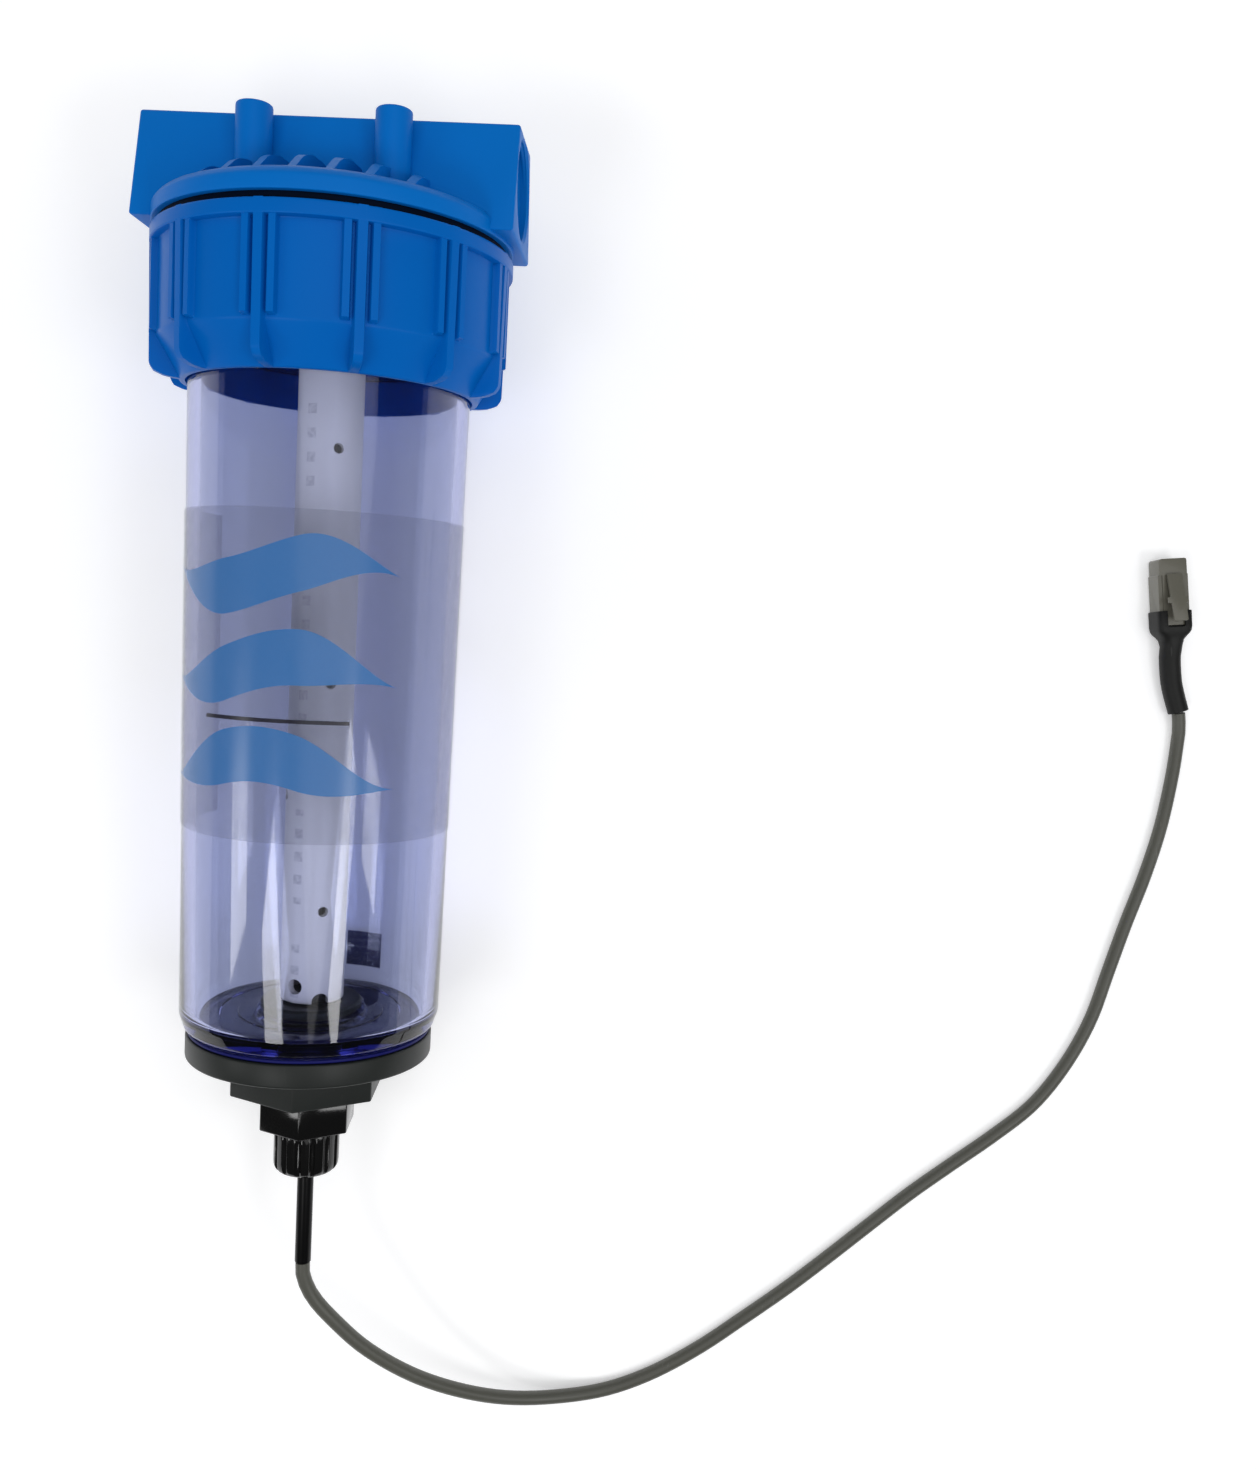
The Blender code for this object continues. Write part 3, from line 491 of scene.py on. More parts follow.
def rod(name, radius, length, place, steps=48, bevel=0.0):
    outline = [(radius, length / 2, bevel), (radius, -length / 2, bevel), (0.0, -length / 2)]
    outline = [
        (0.0, length / 2),
        *(rounded([(0.0, length / 2), *outline], closed=False)[1:] if bevel else [p[:2] for p in outline]),
    ]
    return turned(name, outline, steps, closed=False, place=place)


def at(x, y, z, direction=(0, 0, 1)):
    turn = Vector((0, 0, 1)).rotation_difference(Vector(direction)).to_matrix().to_4x4()
    return Matrix.Translation(Vector((x, y, z)) * MM) @ turn


def combined(target, others, operation):
    """The Boolean of a mesh and others. The others are removed."""
    for other in others:
        change = target.modifiers.new("shape", "BOOLEAN")
        change.operation = operation
        change.solver = "EXACT"
        change.object = other
    made = settled(target)
    for other in others:
        bpy.data.objects.remove(other)
    return made


def grouped(name, pieces):
    """One object that holds the meshes of several."""
    body = bmesh.new()
    for piece in pieces:
        body.from_mesh(piece.data)
        bpy.data.objects.remove(piece)
    mesh = bpy.data.meshes.new(name)
    body.to_mesh(mesh)
    body.free()
    return scene_object(name, mesh)


def closed_shell(name, rings, place=CELL, end_caps=False, loop=True):
    """Joins rings of (x, y, z) points into a skin. The last ring joins the first if loop is set."""
    count = len(rings[0])
    points = [(x * MM, y * MM, z * MM) for ring in rings for x, y, z in ring]
    faces = []
    for i in range(len(rings) if loop else len(rings) - 1):
        j = (i + 1) % len(rings)
        for k in range(count):
            n = (k + 1) % count
            faces.append((i * count + k, i * count + n, j * count + n, j * count + k))
    if end_caps:
        faces.append(tuple(range(count))[::-1])
        faces.append(tuple((len(rings) - 1) * count + k for k in range(count)))
    mesh = bpy.data.meshes.new(name)
    mesh.from_pydata(points, [], faces)
    return settled(scene_object(name, mesh), place)


def turned_by_angle(name, angles, profile, place=CELL):
    """A lathe whose closed outline of (radius, height) changes with the angle in degrees from the front."""
    columns = []
    for angle in angles:
        c, s = polar(1.0, angle - 90.0)
        columns.append([(radius * c, radius * s, height) for radius, height in profile(angle)])
    return closed_shell(name, columns, place)


def smooth_step(low, high, value):
    t = min(1.0, max(0.0, (value - low) / (high - low)))
    return t * t * (3 - 2 * t)


def between(table, value):
    """The value read off a table of (place, value) pairs that fall in place."""
    for (high, first), (low, second) in zip(table, table[1:]):
        if value >= low:
            return second + (first - second) * min(1.0, (value - low) / (high - low))
    return table[-1][1]


def smooth_route(points, step):
    """Even points along a smooth curve through the given ones."""
    points = [Vector(point) for point in points]
    padded = [2 * points[0] - points[1], *points, 2 * points[-1] - points[-2]]
    fine = []
    for before, start, end, after in zip(padded, padded[1:], padded[2:], padded[3:]):
        for i in range(12):
            t = i / 12
            fine.append(
                0.5 * (2 * start + (end - before) * t + (2 * before - 5 * start + 4 * end - after) * t**2
                       + (3 * start - before - 3 * end + after) * t**3)
            )
    fine.append(points[-1])
    length = sum((b - a).length for a, b in zip(fine, fine[1:]))
    count = round(length / step)
    even, walked = [fine[0]], 0.0
    for a, b in zip(fine, fine[1:]):
        span = (b - a).length
        while len(even) < count and walked + span >= length * len(even) / count:
            even.append(a.lerp(b, (length * len(even) / count - walked) / span))
        walked += span
    return [*even, fine[-1]]


# ---- lead ---------------------------------------------------------------------------------------------

# The lead's centre line, the same points as in the part's source, and the boot's, in the plug's frame.
CORD_ROUTE = (
    (0.0, -206.75, 37.68), (0.4, -212.0, 37.3), (3.6, -219.4, 36.2), (10.0, -227.6, 34.5),
    (21.8, -240.4, 30.2), (37.4, -252.8, 23.8), (53.8, -262.0, 17.2), (71.3, -268.4, 10.9),
    (89.4, -271.0, 5.9), (109.8, -269.6, 3.1), (127.9, -263.4, 2.6), (145.8, -253.5, 2.6),
    (161.7, -242.5, 2.6), (178.5, -230.4, 2.6), (193.9, -218.3, 2.6), (210.0, -205.2, 2.6),
    (225.4, -192.8, 2.6), (241.4, -181.1, 2.6), (257.6, -169.5, 2.6), (273.0, -156.8, 2.6),
    (285.1, -140.9, 2.6), (294.2, -123.3, 2.6), (300.3, -104.1, 2.6), (306.3, -85.2, 2.6),
    (312.8, -66.5, 2.6), (318.2, -47.2, 2.6), (321.7, -27.5, 2.6), (323.2, -13.0, 2.7),
    (323.3, -7.5, 3.1), (322.35, -1.75, 3.85),
)
BOOT_ROUTE = ((0.0, 0.8, 5.2), (-0.6, -8.4, 4.8), (-0.4, -17.2, 4.3), (0.4, -22.8, 4.05), (2.16, -30.6, 3.9))


def make_cord(material):
    points = [point * MM for point in smooth_route(CORD_ROUTE, 4.0)]
    curve = bpy.data.curves.new("cord_line", "CURVE")
    curve.dimensions = "3D"
    curve.bevel_depth = LEAD_RADIUS * MM
    curve.bevel_resolution = 6
    curve.use_fill_caps = True
    spline = curve.splines.new("POLY")
    spline.points.add(len(points) - 1)
    for knot, place in zip(spline.points, points):
        knot.co = (*place, 1.0)
    spline.use_smooth = True
    cord = finish(scene_object("lead", curve), material, "bowl_unit", "cord_grey", "cord")
    length = sum((b - a).length for a, b in zip(points, points[1:]))
    return cord, points[0], length


def make_sleeve(material):
    outline = rounded([
        (2.75, -238.0, 0.3), (2.75, -295.5, 0.5), (2.45, -295.5), (2.3, -294.0), (2.3, -239.0), (2.3, -238.0),
    ])
    return finish(turned("lead_sleeve", outline, 32), material, "bowl_unit", "boot_black", "cord_sleeve")


# ---- plug ---------------------------------------------------------------------------------------------


def superellipse(width, height, power, count=40):
    ring = []
    for i in range(count):
        a = 2 * math.pi * (i + 0.5) / count
        x, y = [math.copysign(abs(part) ** (2 / power), part) for part in (math.cos(a), math.sin(a))]
        ring.append((width / 2 * x, height / 2 * y))
    return ring


def frame_along(step):
    """Unit vectors along a step of a route, level across it, and up from it."""
    ahead = step.normalized()
    side = ahead.cross(Vector((0, 0, 1))).normalized()
    return ahead, side, side.cross(ahead)


def make_boot(material):
    """A collar that grips the plug and narrows into a bent tube round the lead."""
    rings = []
    sections = (
        # y, width, height, centre height, squareness
        (8.55, 13.0, 9.4, 5.35, 7.0), (8.55, 13.5, 10.2, 5.35, 7.0), (8.2, 13.8, 10.5, 5.35, 7.0),
        (2.4, 13.7, 10.5, 5.35, 7.0), (0.8, 13.4, 10.2, 5.3, 6.0), (-0.3, 12.4, 9.5, 5.25, 5.0),
        (-1.4, 10.6, 8.8, 5.2, 3.6), (-2.6, 9.1, 8.2, 5.1, 2.7), (-5.0, 8.35, 7.8, 5.0, 2.1),
    )
    for y, width, height, level, power in sections:
        rings.append([(x, y, level + z) for x, z in superellipse(width, height, power)])
    route = smooth_route(BOOT_ROUTE, 2.0)
    for i, point in enumerate(route):
        if point.y > -7.5:
            continue
        ahead, side, rise = frame_along(route[min(i + 1, len(route) - 1)] - route[i - 1])
        width = 8.3 - 0.5 * i / len(route)
        ring = superellipse(width, min(width, 7.6), 2.0)
        rings.append([tuple(point - side * x + rise * z) for x, z in ring])
    last = route[-1]
    ahead, side, rise = frame_along(last - route[-2])
    for size, back in ((7.0, -0.12), (5.3, -0.1), (5.2, 1.6)):
        end = last - ahead * (back + 0.1)
        rings.append([tuple(end - side * x + rise * z) for x, z in superellipse(size, size, 2.0)])
    boot = closed_shell("plug_boot_skin", rings, PLUG, end_caps=True, loop=False)
    pocket = extruded("pocket", box(-6.15, 2.7, 6.15, 9.6), 8.9, PLUG @ at(0, 0, 5.35))
    notch = extruded(
        "notch", rounded([(-3.5, 2.2, 1.0), (3.5, 2.2, 1.0), (3.5, 9.6), (-3.5, 9.6)]), 3.0,
        PLUG @ at(0, 0, 11.0),
    )
    boot = combined(boot, [pocket, notch], "DIFFERENCE")
    return finish(boot, material, "bowl_unit", "boot_black", "plug_boot")


CONTACT_PITCH = 1.02


def make_plug_body(material):
    """The clear modular body, with its nose step, side rails, contact slots and lead cavity."""
    outline = rounded([
        (-6.0, 3.0, 0.3), (6.0, 3.0, 0.3), (6.0, 22.2, 0.2), (5.55, 22.7, 0.2), (5.55, 28.6, 0.9),
        (-5.55, 28.6, 1.3), (-5.55, 22.7, 0.2), (-6.0, 22.2, 0.2),
    ])
    body = extruded("plug_shell", outline, 8.3, PLUG @ at(0, 0, 5.35), bevel=0.35)
    cuts = [extruded("cavity", box(-4.7, 2.0, 4.7, 15.0), 5.4, PLUG @ at(0, 0, 5.2))]
    for name, left, right in (("latch_step_l", -6.5, -4.4), ("latch_step_r", 4.4, 6.5)):
        cuts.append(extruded(name, box(left, 7.0, right, 22.2), 1.6, PLUG @ at(0, 0, 9.9)))
    for number in range(8):
        x = (number - 3.5) * CONTACT_PITCH
        cuts.append(extruded("slot", box(x - 0.26, 22.8, x + 0.26, 27.6), 4.0, PLUG @ at(0, 0, 1.9)))
    body = combined(body, cuts, "DIFFERENCE")
    return finish(body, material, "bowl_unit", "plug_clear", "plug_body")


def make_latch(material):
    """The springy arm: a tapered strip with two side lugs and a rounded thumb end."""
    hinge = PLUG @ at(0.0, 22.0, 10.4) @ Matrix.Rotation(math.radians(-12.0), 4, "X")
    outline = rounded([
        (-3.0, 0.6), (3.0, 0.6), (2.9, -8.4), (4.0, -8.7, 0.2), (4.0, -10.8, 0.2), (2.8, -11.0),
        (2.7, -18.0, 0.6), (-2.7, -18.0, 0.6), (-2.8, -11.0), (-4.0, -10.8, 0.2), (-4.0, -8.7, 0.2),
        (-2.9, -8.4),
    ])
    arm = extruded("latch_arm", outline, 0.95, hinge, bevel=0.18, segments=2)
    return finish(arm, material, "plug_latch", "plug_clear", "plug_latch")


# ---- head ---------------------------------------------------------------------------------------------


def make_head(material):
    dome = turned(
        "port_head",
        rounded([
            (0.0, 66.8), (24.0, 66.2), (34.0, 64.9), (38.0, 63.7, 3.0), (41.9, 62.4, 3.0),
            (45.3, 60.7, 4.0), (52.0, 56.1, 0.8), (55.5, 54.7, 4.0), (57.3, 52.6, 2.0), (57.3, 48.1, 0.5),
            (48.2, 48.1, 0.4), (48.2, 44.4, 0.4), (50.2, 43.4, 0.4), (50.2, 20.5, 0.8), (43.6, 20.5, 0.5),
            (43.6, 48.0, 4.0), (40.0, 51.0, 2.0), (18.5, 51.0, 2.0), (15.5, 48.0, 2.0), (15.5, 20.5, 0.4),
            (13.0, 20.5, 0.4), (13.0, 50.0, 0.4), (9.0, 50.0), (9.0, 54.0), (0.0, 54.0),
        ], closed=False),
        closed=False, place=Matrix(),
    )
    dome = combined(dome, [make_slot_cutters()], "DIFFERENCE")
    bar = extruded(
        "bar", [(-21.6, 49.2), (21.6, 49.2), (13.9, 83.6), (-13.9, 83.6)], 2 * BAR_END, SIDEWAYS, bevel=0.9
    )
    bosses = [rod("boss", 5.7, 31.0, at(x, y, 84.0 - 15.5), steps=48, bevel=0.9) for x, y in BOSS_PLACES]
    head = combined(dome, [bar, *bosses], "UNION")
    cuts = [
        rod("port", 15.1, 22.5, at(side * 49.95, 0, PORT_HEIGHT, (side, 0, 0)), steps=96) for side in (-1, 1)
    ]
    mouth = [(0.0, 1.0), (17.0, 1.0), (15.0, -0.9), (0.0, -0.9)]
    cuts += [
        turned("mouth", mouth, 96, False, at(side * BAR_END, 0, PORT_HEIGHT, (side, 0, 0)))
        for side in (-1, 1)
    ]
    cuts += [
        rod("outlet_way", 8.6, 41.0, at(19.5, 0, PORT_HEIGHT, (1, 0, 0)), steps=64),
        rod("inlet_way", 8.2, 15.5, at(-31.5, 0, PORT_HEIGHT, (1, 0, 0)), steps=64),
        rod("outlet_drop", 9.0, 18.0, at(0, 0, 58.4), steps=64),
        rod("inlet_drop", 7.0, 20.0, at(-30.5, 0, 57.0), steps=48),
    ]
    cuts += [rod("hole", 1.9, 16.0, at(x, y, 79.0), steps=24) for x, y in BOSS_PLACES]
    head = combined(head, cuts, "DIFFERENCE")
    head.data.transform(CELL)
    return finish(head, material, "head", "head_blue", "head")


def make_slot_cutters():
    """What is cut from the dome so that only upright fins are left of it, square to the ports."""
    pitch, thickness, clear = 10.7, 2.3, 70.0
    edges = [-clear]
    for number in range(-3, 4):
        edges += [number * pitch - thickness / 2, number * pitch + thickness / 2]
    edges.append(clear)
    slots = []
    for left, right in zip(edges[0::2], edges[1::2]):
        slots.append(extruded("slot", box(left, -60.0, right, 60.0), 14.0, at(0.0, 0.0, 63.0)))
    return grouped("slots", slots)


def make_port_threads(material):
    """Internal pipe thread in both ports."""
    threads = []
    pitch, turns, steps = 2.309, 7, 48
    for side in (-1, 1):
        rings = []
        for i in range(turns * steps + 1):
            angle = 2 * math.pi * i / steps * side
            depth = 1.6 + pitch * i / steps
            fade = min(1.0, i / 20, (turns * steps - i) / 20)
            crest = 15.25 - 1.0 * fade
            c, s = math.cos(angle), math.sin(angle)
            ring = [(15.3, depth - 1.0), (crest, depth - 0.22), (crest, depth + 0.22), (15.3, depth + 1.0)]
            rings.append([(side * (BAR_END - x), r * c, PORT_HEIGHT + r * s) for r, x in ring])
        threads.append(closed_shell("thread", rings, CELL, end_caps=True, loop=False))
    return finish(grouped("port_threads", threads), material, "head", "head_blue")


def make_skirt_thread(material):
    """The coarse thread on the head's skirt, hidden in the ring nut until it is undone."""
    rings, pitch, turns, steps = [], 5.0, 4.2, 72
    for i in range(int(turns * steps) + 1):
        angle = 2 * math.pi * i / steps
        height = 23.4 + pitch * i / steps
        fade = min(1.0, i / 30, (turns * steps - i) / 30)
        crest = 50.0 + 0.85 * max(0.1, fade)
        c, s = math.cos(angle), math.sin(angle)
        ring = [(50.0, height - 1.2), (crest, height - 0.5), (crest, height + 0.5), (50.0, height + 1.2)]
        rings.append([(r * c, r * s, z) for r, z in ring])
    thread = closed_shell("skirt_thread", rings, CELL, end_caps=True, loop=False)
    return finish(thread, material, "head", "head_blue")


def make_flange_shade_ring(material):
    """A flat dark ring under the head's flange, set back from its edge. It is painted shade that darkens the
    gap between the flange and the ring nut.
    """
    shade_ring = turned("flange_shade_ring", flat_ring(55.4, 48.3, 48.05, 46.0))
    return finish(shade_ring, material, "head", "seal_rubber")


# ---- ring nut -----------------------------------------------------------------------------------------

RIB_TURN = -8.0
RIB_PITCH = 30.0
RIB_CIRCLE = 55.5  # the radius on which widths along the ribs are measured
LONG_RIB_HALF = (1.35, 1.95)  # half its width at the crest and at the root
SHORT_RIB_HALF = (1.0, 1.5)
SHORT_RIB_AWAY = 4.07
SHORT_RIB_REACH = 57.1
SHORT_RIB_FOOT = (13.2, 13.9)
COLLAR_FOOT = 40.3
NUT_HEIGHTS = (
    45.7, 45.62, 45.35, 44.9, 42.0, 41.55, 41.3, 41.15, 40.9, 40.4, 36.0, 28.0, 20.0, 15.0, 14.1, 13.9,
    13.7, 13.45, 13.2, 12.9, 12.5, 12.1, 11.6, 10.0, 7.0, 4.6, 4.0, 3.6, 3.1, 2.5, 1.9, 1.4, 1.0, 0.7,
    0.45, 0.2, 0.05, 0.0,
)
LONG_RIB = (
    (45.7, 57.4), (41.0, 57.4), (4.4, 56.85), (3.4, 56.5), (1.8, 55.4), (0.7, 52.6), (0.25, 50.2),
    (0.0, 46.9),
)
NUT_WALL = ((45.7, 54.9), (13.0, 54.9), (12.3, 54.75), (11.5, 54.3), (0.5, 47.85), (0.15, 47.6), (0.0, 47.2))
COLLAR = (
    (45.7, 56.9), (45.62, 57.2), (45.35, 57.42), (44.9, 57.5), (41.55, 57.5), (41.3, 57.35),
    (41.15, 56.9), (40.9, 55.1), (40.4, 54.9), (0.0, 0.0),
)


def nut_radius(angle, height):
    """The ring nut's outer radius, at an angle in degrees from the front and at a height."""
    wall = between(NUT_WALL, height)
    nearest = (angle - RIB_TURN + RIB_PITCH / 2) % RIB_PITCH - RIB_PITCH / 2
    away = math.radians(nearest) * RIB_CIRCLE
    reach = wall
    mask = 1.0 - smooth_step(*LONG_RIB_HALF, abs(away))
    reach += (max(between(LONG_RIB, height), wall) - wall) * mask
    if height > SHORT_RIB_FOOT[0]:
        short = 1.0 - smooth_step(*SHORT_RIB_HALF, abs(abs(away) - SHORT_RIB_AWAY))
        reach += (SHORT_RIB_REACH - wall) * short * smooth_step(*SHORT_RIB_FOOT, height)
    return max(reach, between(COLLAR, height)) if height > COLLAR_FOOT else reach


def make_ring_nut(material):
    angles = []
    for group in range(12):
        offsets = [0.0]
        for away in (
            0.9, 1.35, 1.5, 1.65, 1.8, 1.95, 2.3, 2.57, 2.7, 2.82, 2.95, 3.07, 3.6, 4.07, 4.6, 5.07, 5.2,
            5.32, 5.45, 5.6,
        ):
            offsets += [math.degrees(away / RIB_CIRCLE), -math.degrees(away / RIB_CIRCLE)]
        offsets += [side * wide for side in (-1, 1) for wide in (6.6, 8.0, 9.8, 11.6, 13.4)] + [RIB_PITCH / 2]
        angles += [RIB_TURN + RIB_PITCH * group + offset for offset in sorted(offsets)]
    inner = rounded([(45.9, 0.0, 0.4), (45.9, 12.0, 0.3), (51.0, 12.0, 0.3), (51.0, 45.7, 0.5)], closed=False)

    def profile(angle):
        outer = [(nut_radius(angle, height), height) for height in NUT_HEIGHTS]
        return outer + inner

    return finish(
        turned_by_angle("ring_nut_shell", angles, profile), material, "ring_nut", "nut_blue", "ring_nut",
    )


# ---- bowl, labels, pipe -------------------------------------------------------------------------------


def bowl_radius(height):
    """The bowl's outer radius. It narrows a little towards its foot."""
    return 45.2 + 0.0107 * height


def make_bowl(material):
    outline = rounded([
        (50.3, 17.0, 0.6), (50.3, 12.3, 0.6), (bowl_radius(12.3), 12.3, 0.8), (bowl_radius(-100.0), -100.0),
        (bowl_radius(-205.0), -205.0, 3.0), (41.6, -209.6, 2.4), (39.4, BOWL_BOTTOM, 0.8),
        (10.3, BOWL_BOTTOM, 0.4), (10.3, FLOOR_TOP, 0.4), (17.8, FLOOR_TOP), (18.3, FLOOR_TOP + 0.25),
        (18.8, FLOOR_TOP), (24.0, FLOOR_TOP), (24.4, FLOOR_TOP - 0.3), (30.0, FLOOR_TOP - 0.3),
        (30.4, FLOOR_TOP),
        (bowl_radius(FLOOR_TOP) - BOWL_WALL, FLOOR_TOP, 4.2), (bowl_radius(-100.0) - BOWL_WALL, -100.0),
        (bowl_radius(17.0) - BOWL_WALL, 17.0, 0.6),
    ], parts=4)
    return finish(turned("clear_bowl_shell", outline, 160), material, "bowl_unit", "clear_bowl", "bowl")


FILM_LIFT = 0.32  # how far the films stand off the bowl


def make_film(name, top, bottom, first, last, material, slot, node, thickness=0.12):
    """A thin film round the bowl, with its own UV in metres: U round the bowl from the front, V up it."""
    count = max(8, round((last - first) / 3))
    mesh = bpy.data.meshes.new(name)
    points, coordinates, faces = [], [], []
    rows = (top, (top + bottom) / 2, bottom)
    for i in range(count + 1):
        angle = first + (last - first) * i / count
        turn = math.radians(angle - 90.0)
        for height in rows:
            radius = bowl_radius(height) + FILM_LIFT
            points.append((radius * math.cos(turn) * MM, radius * math.sin(turn) * MM, height * MM))
            coordinates.append((math.radians(angle) * radius * MM, height * MM))
    for i in range(count):
        for j in range(len(rows) - 1):
            a = i * len(rows) + j
            faces.append((a, a + 1, a + len(rows) + 1, a + len(rows)))
    mesh.from_pydata(points, [], faces)
    layer = mesh.uv_layers.new(name="film")
    for loop in mesh.loops:
        layer.data[loop.index].uv = coordinates[loop.vertex_index]
    made = scene_object(name, mesh)
    thick = made.modifiers.new("thickness", "SOLIDIFY")
    thick.thickness = thickness * MM
    thick.offset = 1.0
    graph = bpy.context.evaluated_depsgraph_get()
    final = bpy.data.meshes.new_from_object(made.evaluated_get(graph))
    final.transform(CELL)
    bpy.data.objects.remove(made)
    return finish(scene_object(name, final), material, "bowl_unit", slot, node)


def roll_out(made, radius):
    """Gives a piece about the cell's axis a UV in metres: U round it from the front, V up it."""
    layer = made.data.uv_layers.new(name="film")
    back = CELL.inverted()
    for loop in made.data.loops:
        point = back @ made.data.vertices[loop.vertex_index].co
        layer.data[loop.index].uv = (math.atan2(point.x, -point.y) * radius, point.z)


def make_pipe(material):
    radius, bore, top, bottom = 10.67, 7.9, 46.0, -202.0
    outline = rounded([(radius, top, 0.4), (radius, bottom, 0.3), (bore, bottom, 0.3), (bore, top, 0.4)])
    pipe = turned("drilled_pipe", outline, 96, place=Matrix())
    cuts = []
    for row in range(2):
        direction = (*polar(1.0, 30.0 - 90.0 * row - 90.0), 0.0)
        for number in range(3 - row):
            height = -18.3 - 76.1 * (number + row / 2)
            cuts.append(rod("hole", 1.7, 24.0, at(0, 0, height, direction), steps=32))
    for turn, height, size in ((-17.5, -196.4, 2.6), (30.0, -201.2, 2.8)):
        c, s = polar(1.0, turn - 90.0)
        cuts.append(rod("drain", size, 13.0, at(radius * c, radius * s, height, (c, s, 0.0)), steps=32))
    pipe = combined(pipe, cuts, "DIFFERENCE")
    pipe.data.transform(CELL)
    roll_out(pipe, radius * MM)
    return finish(pipe, material, "bowl_unit", "pipe_white", "perforated_pipe")


# ---- foot fittings ------------------------------------------------------------------------------------


def hexagon(radius, turn):
    return [polar(radius, 60 * i + turn - 90.0) for i in range(6)]


def make_bulkhead(material):
    body = turned(
        "bulkhead_flange",
        rounded([
            (7.4, -202.3), (10.0, -202.3, 0.4), (10.0, -212.3, 0.2), (40.8, -212.3, 0.6),
            (40.8, -220.1, 0.9), (27.5, -220.1, 0.2), (27.2, -220.6, 0.2), (21.0, -220.6), (21.0, -224.0),
            (7.4, -224.0),
        ]),
        place=Matrix(),
    )
    nut = extruded("hex", hexagon(27.0, 4.0), 14.0, at(0, 0, -226.1), bevel=0.55)
    ring = turned(
        "hex_face", rounded([(20.6, -232.0), (20.6, -233.4, 0.3), (9.0, -233.4), (9.0, -232.0)]), 96,
        place=Matrix(),
    )
    bore = rod("bore", 9.4, 12.5, at(0, 0, -228.0), steps=64)
    body = combined(
        combined(body, [nut, ring], "UNION"),
        [bore, rod("shank_bore", 7.4, 40.0, at(0, 0, -203.0), steps=64)], "DIFFERENCE",
    )
    body.data.transform(CELL)
    return finish(body, material, "bowl_unit", "bulkhead_grey", "bulkhead_body")


def make_inner_nut(material):
    outline = rounded([
        (16.2, -202.6, 0.3), (17.0, -203.3, 0.3), (17.0, -205.1, 0.2), (10.3, -205.1), (10.3, -202.6, 0.3),
    ])
    return finish(turned("inner_nut", outline, 96), material, "bowl_unit", "bulkhead_grey", "bulkhead_nut")


def make_seals(material, gasket_material):
    gasket = turned("foot_gasket", flat_ring(40.2, 10.3, -211.0, -212.0), FINE)
    finish(gasket, gasket_material, "bowl_unit", "seal_rubber", "bulkhead_gasket")
    washer = turned("inner_washer", flat_ring(16.0, 10.3, -205.4, -206.1, 0.2), 96)
    finish(washer, material, "bowl_unit", "seal_rubber", "bulkhead_inner_washer")
    circle = [(47.0 + x, 18.75 + y) for x, y in (polar(1.45, -angle) for angle in range(0, 360, 20))]
    finish(turned("mouth_ring", circle, FINE), material, "bowl_unit", "seal_rubber", "bowl_o_ring")
    small = turned("gland_ring", flat_ring(12.0, 9.5, -233.6, -234.2), 64)
    finish(small, material, "bowl_unit", "seal_rubber", "gland_washer")


def make_gland_body(material):
    core = [
        (4.0, -222.0), (9.1, -222.0, 0.5), (9.1, -236.0), (8.6, -245.0), (8.6, -255.0, 0.4), (5.9, -255.0),
        (5.9, -247.5), (4.0, -247.5),
    ]
    body = turned("gland_core", rounded(core), 64, place=Matrix())
    flats = extruded("flats", hexagon(16.8, 5.0), 11.9, at(0, 0, -240.45), bevel=0.5)
    lip = turned(
        "lip", rounded([(14.0, -245.2), (14.0, -246.6, 0.3), (9.0, -246.6), (9.0, -245.2)]), 64,
        place=Matrix(),
    )
    bores = [
        rod("bore", 4.0, 30.0, at(0, 0, -236.0), steps=48),
        rod("seat", 5.9, 9.0, at(0, 0, -252.0), steps=48),
    ]
    body = combined(combined(body, [flats, lip], "UNION"), bores, "DIFFERENCE")
    body.data.transform(CELL)
    return finish(body, material, "bowl_unit", "gland_black", "gland_body")


DOME_HEIGHTS = (
    -247.0, -247.3, -248.0, -250.0, -254.0, -258.0, -259.6, -260.6, -261.3, -261.9, -262.3, -262.5,
)
DOME_SHAPE = (
    (-247.0, 10.6), (-247.3, 10.95), (-248.0, 11.1), (-258.0, 11.05), (-259.6, 10.95), (-260.6, 10.6),
    (-261.3, 10.1), (-261.9, 9.3), (-262.3, 8.4), (-262.5, 7.2),
)


GROOVES = 14
GROOVE_DEPTH = 0.75


def make_dome_nut(material):
    inner = rounded([(3.5, -262.5, 0.3), (3.5, -257.4), (9.1, -257.4, 0.3), (9.1, -247.0, 0.3)], closed=False)

    def profile(angle):
        groove = 0.5 + 0.5 * math.cos(math.radians(angle * GROOVES))
        groove = smooth_step(0.55, 0.95, groove)
        outer = []
        for height in DOME_HEIGHTS:
            reach = between(DOME_SHAPE, height)
            depth = GROOVE_DEPTH * smooth_step(-247.2, -248.4, height) * smooth_step(-262.2, -260.0, height)
            outer.append((reach - depth * groove, height))
        return outer + inner

    return finish(
        turned_by_angle("gland_dome", [i * 1.5 for i in range(240)], profile), material, "gland_nut",
        "gland_black", "gland_dome_nut",
    )


# ---- floor, light and world ---------------------------------------------------------------------------


def make_floor():
    mesh = bpy.data.meshes.new("floor")
    size = 6.0
    mesh.from_pydata(
        [(-size, -size, 0), (size, -size, 0), (size, size, 0), (-size, size, 0)], [], [(0, 1, 2, 3)],
    )
    floor = scene_object("floor", mesh)
    made, tree, shader, vector = new_material("pale_floor")
    cloud = tree.noise(vector, 3.0, 3.0)
    tree.feed(tree.mix(cloud, (0.86, 0.86, 0.865, 1.0), (0.9, 0.9, 0.9, 1.0)), shader.inputs["Base Color"])
    tree.fill(shader, {
        "Roughness": 0.9, "Specular IOR Level": 0.1, "Emission Color": (1.0, 1.0, 1.0, 1.0),
        "Emission Strength": 0.3,
    })
    mesh.materials.append(made)


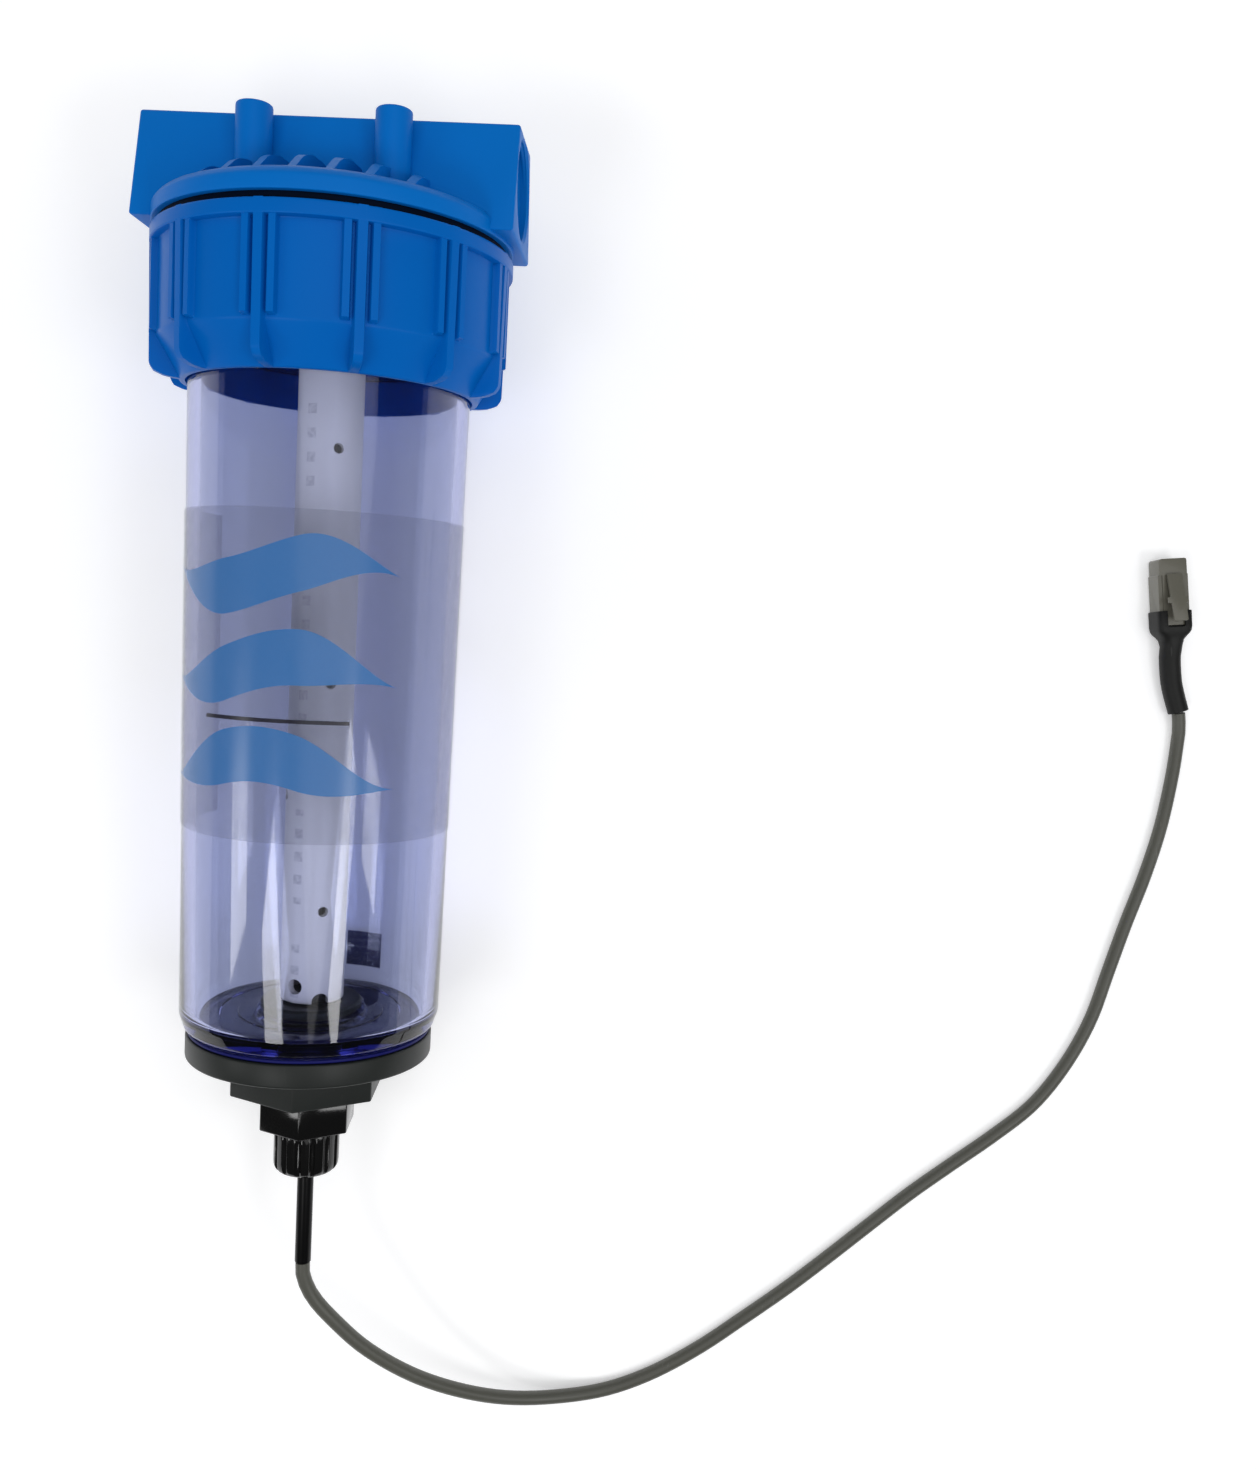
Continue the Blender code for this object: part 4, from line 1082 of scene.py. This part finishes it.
def area_light(name, place, target, size, power, colour=(1.0, 1.0, 1.0)):
    data = bpy.data.lights.new(name, "AREA")
    data.shape = "RECTANGLE"
    data.size, data.size_y = size
    data.energy = power
    data.color = colour
    lamp = scene_object(name, data)
    lamp.location = place
    lamp.rotation_euler = (Vector(target) - Vector(place)).to_track_quat("-Z", "Y").to_euler()
    return lamp


def make_light():
    middle = (0.02, 0.0, 0.05)
    area_light("overhead", (0.3, 0.2, 1.7), (0.05, 0.0, 0.0), (1.8, 1.6), 8.0)
    area_light("foot_left", (-0.70, -0.76, 1.5), middle, (0.62, 0.32), 4.6)
    area_light("foot_right", (0.88, -0.585, 1.5), middle, (0.60, 0.27), 3.9)
    area_light("far_left", (-2.5, -0.75, 1.5), middle, (0.55, 0.75), 7.5)
    area_light("far_right", (2.0, -0.60, 1.5), middle, (0.30, 0.60), 3.2)
    world = bpy.data.worlds.new("studio")
    bpy.context.scene.world = world
    world.use_nodes = True
    tree = Tree(world.node_tree)
    bright, dim = world.node_tree.nodes["Background"], tree.add("ShaderNodeBackground")
    tree.fill(bright, {"Color": (0.97, 0.98, 1.0, 1.0), "Strength": 0.42})
    tree.fill(dim, {"Color": (0.97, 0.98, 1.0, 1.0), "Strength": 0.06})
    path = tree.add("ShaderNodeLightPath")
    mixed = tree.add("ShaderNodeMixShader", inputs={0: path.outputs["Is Glossy Ray"]})
    tree.feed(bright.outputs[0], mixed.inputs[1])
    tree.feed(dim.outputs[0], mixed.inputs[2])
    tree.feed(mixed.outputs[0], world.node_tree.nodes["World Output"].inputs["Surface"])


def dress_packed_nodes():
    """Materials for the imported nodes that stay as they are."""
    zinc = metal("zinc_rod", (0.45, 0.46, 0.47), 0.5, dull=0.5)
    steel = metal("drawn_steel", (0.55, 0.55, 0.56), 0.3)
    gold = metal("gilt_contact", (0.85, 0.6, 0.24), 0.25)
    cream = plastic("inner_plastic", (0.62, 0.61, 0.58), 0.45)
    resin = plastic("cast_resin", (0.012, 0.012, 0.013), 0.3, bump=0.02)
    nylon = plastic("clamp_nylon", (0.01, 0.01, 0.01), 0.3)
    rubber = plastic("seal_rubber_small", (0.013, 0.013, 0.013), 0.65)
    chosen = {
        "anode_rod": zinc, "cathode_rod": steel,
        "electrode_spacer_top": cream, "electrode_spacer_bottom": cream,
        "cathode_lead": cream, "anode_lead": resin, "pipe_foot_plug": resin, "pipe_guide_bush": cream,
        "gland_clamp_ring": nylon, "gland_seal": rubber,
    }
    chosen.update({f"plug_contact_{number}": gold for number in range(1, 9)})
    for name, material in chosen.items():
        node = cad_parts[name]
        node.data.materials.clear()
        node.data.materials.append(material)


def build():
    bpy.context.scene.view_settings.view_transform = "Standard"
    head_blue = plastic(
        "head_blue", (0.0, 0.150, 0.545), 0.42, tone=0.05, bump=0.06, scuffs=0.05, dust=(0.08, 0.3, 0.55),
        level=0.07,
    )
    nut_blue = plastic(
        "nut_blue", (0.0, 0.122, 0.485), 0.32, tone=0.05, bump=0.04, scuffs=0.06, dust=(0.08, 0.3, 0.55),
        level=0.06,
    )
    bowl_clear = clear_plastic(
        "bowl_clear", (0.73, 0.765, 0.81), (0.24, 0.27, 0.80), 62.0, passing=(0.90, 0.91, 0.93),
    )
    grey = plastic(
        "bulkhead_grey", (0.015, 0.018, 0.0165), 0.42, tone=0.12, bump=0.12, grain=1800.0, scuffs=0.03,
        level=0.3,
    )
    black = plastic("gland_black", (0.004, 0.004, 0.004), 0.11, tone=0.1, bump=0.02, spread=0.08, level=0.5)
    rubber = plastic("seal_rubber", (0.012, 0.012, 0.012), 0.65, tone=0.1, bump=0.1)
    gasket_navy = plastic("gasket_navy", (0.002, 0.004, 0.11), 0.5, tone=0.1, bump=0.1, level=0.2)
    # Near-black navy for the ring under the head's flange: painted shade for the gap there.
    painted_gap_shade = plastic("painted_gap_shade", (0.0005, 0.004, 0.014), 0.6, tone=0.1, bump=0.05, level=0.05)
    sleeve_black = plastic(
        "sleeve_black", (0.003, 0.003, 0.0033), 0.3, tone=0.15, bump=0.05, spread=0.2, level=0.15,
    )
    boot_black = plastic(
        "boot_black", (0.008, 0.0083, 0.0078), 0.5, tone=0.12, bump=0.2, grain=1500.0, scuffs=0.04,
        level=0.3,
    )
    cord_grey = plastic(
        "cord_grey", (0.082, 0.082, 0.067), 0.42, tone=0.1, bump=0.06, grain=1200.0, scuffs=0.1,
    )
    plug_clear = plastic("plug_smoke", (0.125, 0.12, 0.095), 0.3, tone=0.1, bump=0.04, grain=1200.0, coat=0.2)

    cord, cord_start, cord_length = make_cord(cord_grey)
    make_sleeve(sleeve_black)
    boot = make_boot(boot_black)
    plug = make_plug_body(plug_clear)
    latch = make_latch(plug_clear)
    make_head(head_blue)
    make_port_threads(head_blue)
    make_skirt_thread(head_blue)
    # The dark ring under the flange is painted shade in the gap; it is not a part of the head.
    make_flange_shade_ring(painted_gap_shade)
    make_ring_nut(nut_blue)
    make_bowl(bowl_clear)
    make_film("printed_label", -40.5, -142.0, -106.0, 102.0, label_material(), "label_film", "label_film")
    make_film("small_sticker", -189.8, -202.8, 157.0, 177.0, sticker_material(), "rear_label", "rear_label")
    make_pipe(pipe_material())
    make_bulkhead(grey)
    make_inner_nut(grey)
    make_seals(rubber, gasket_navy)
    make_gland_body(black)
    make_dome_nut(black)
    dress_packed_nodes()
    make_floor()
    make_light()


build()
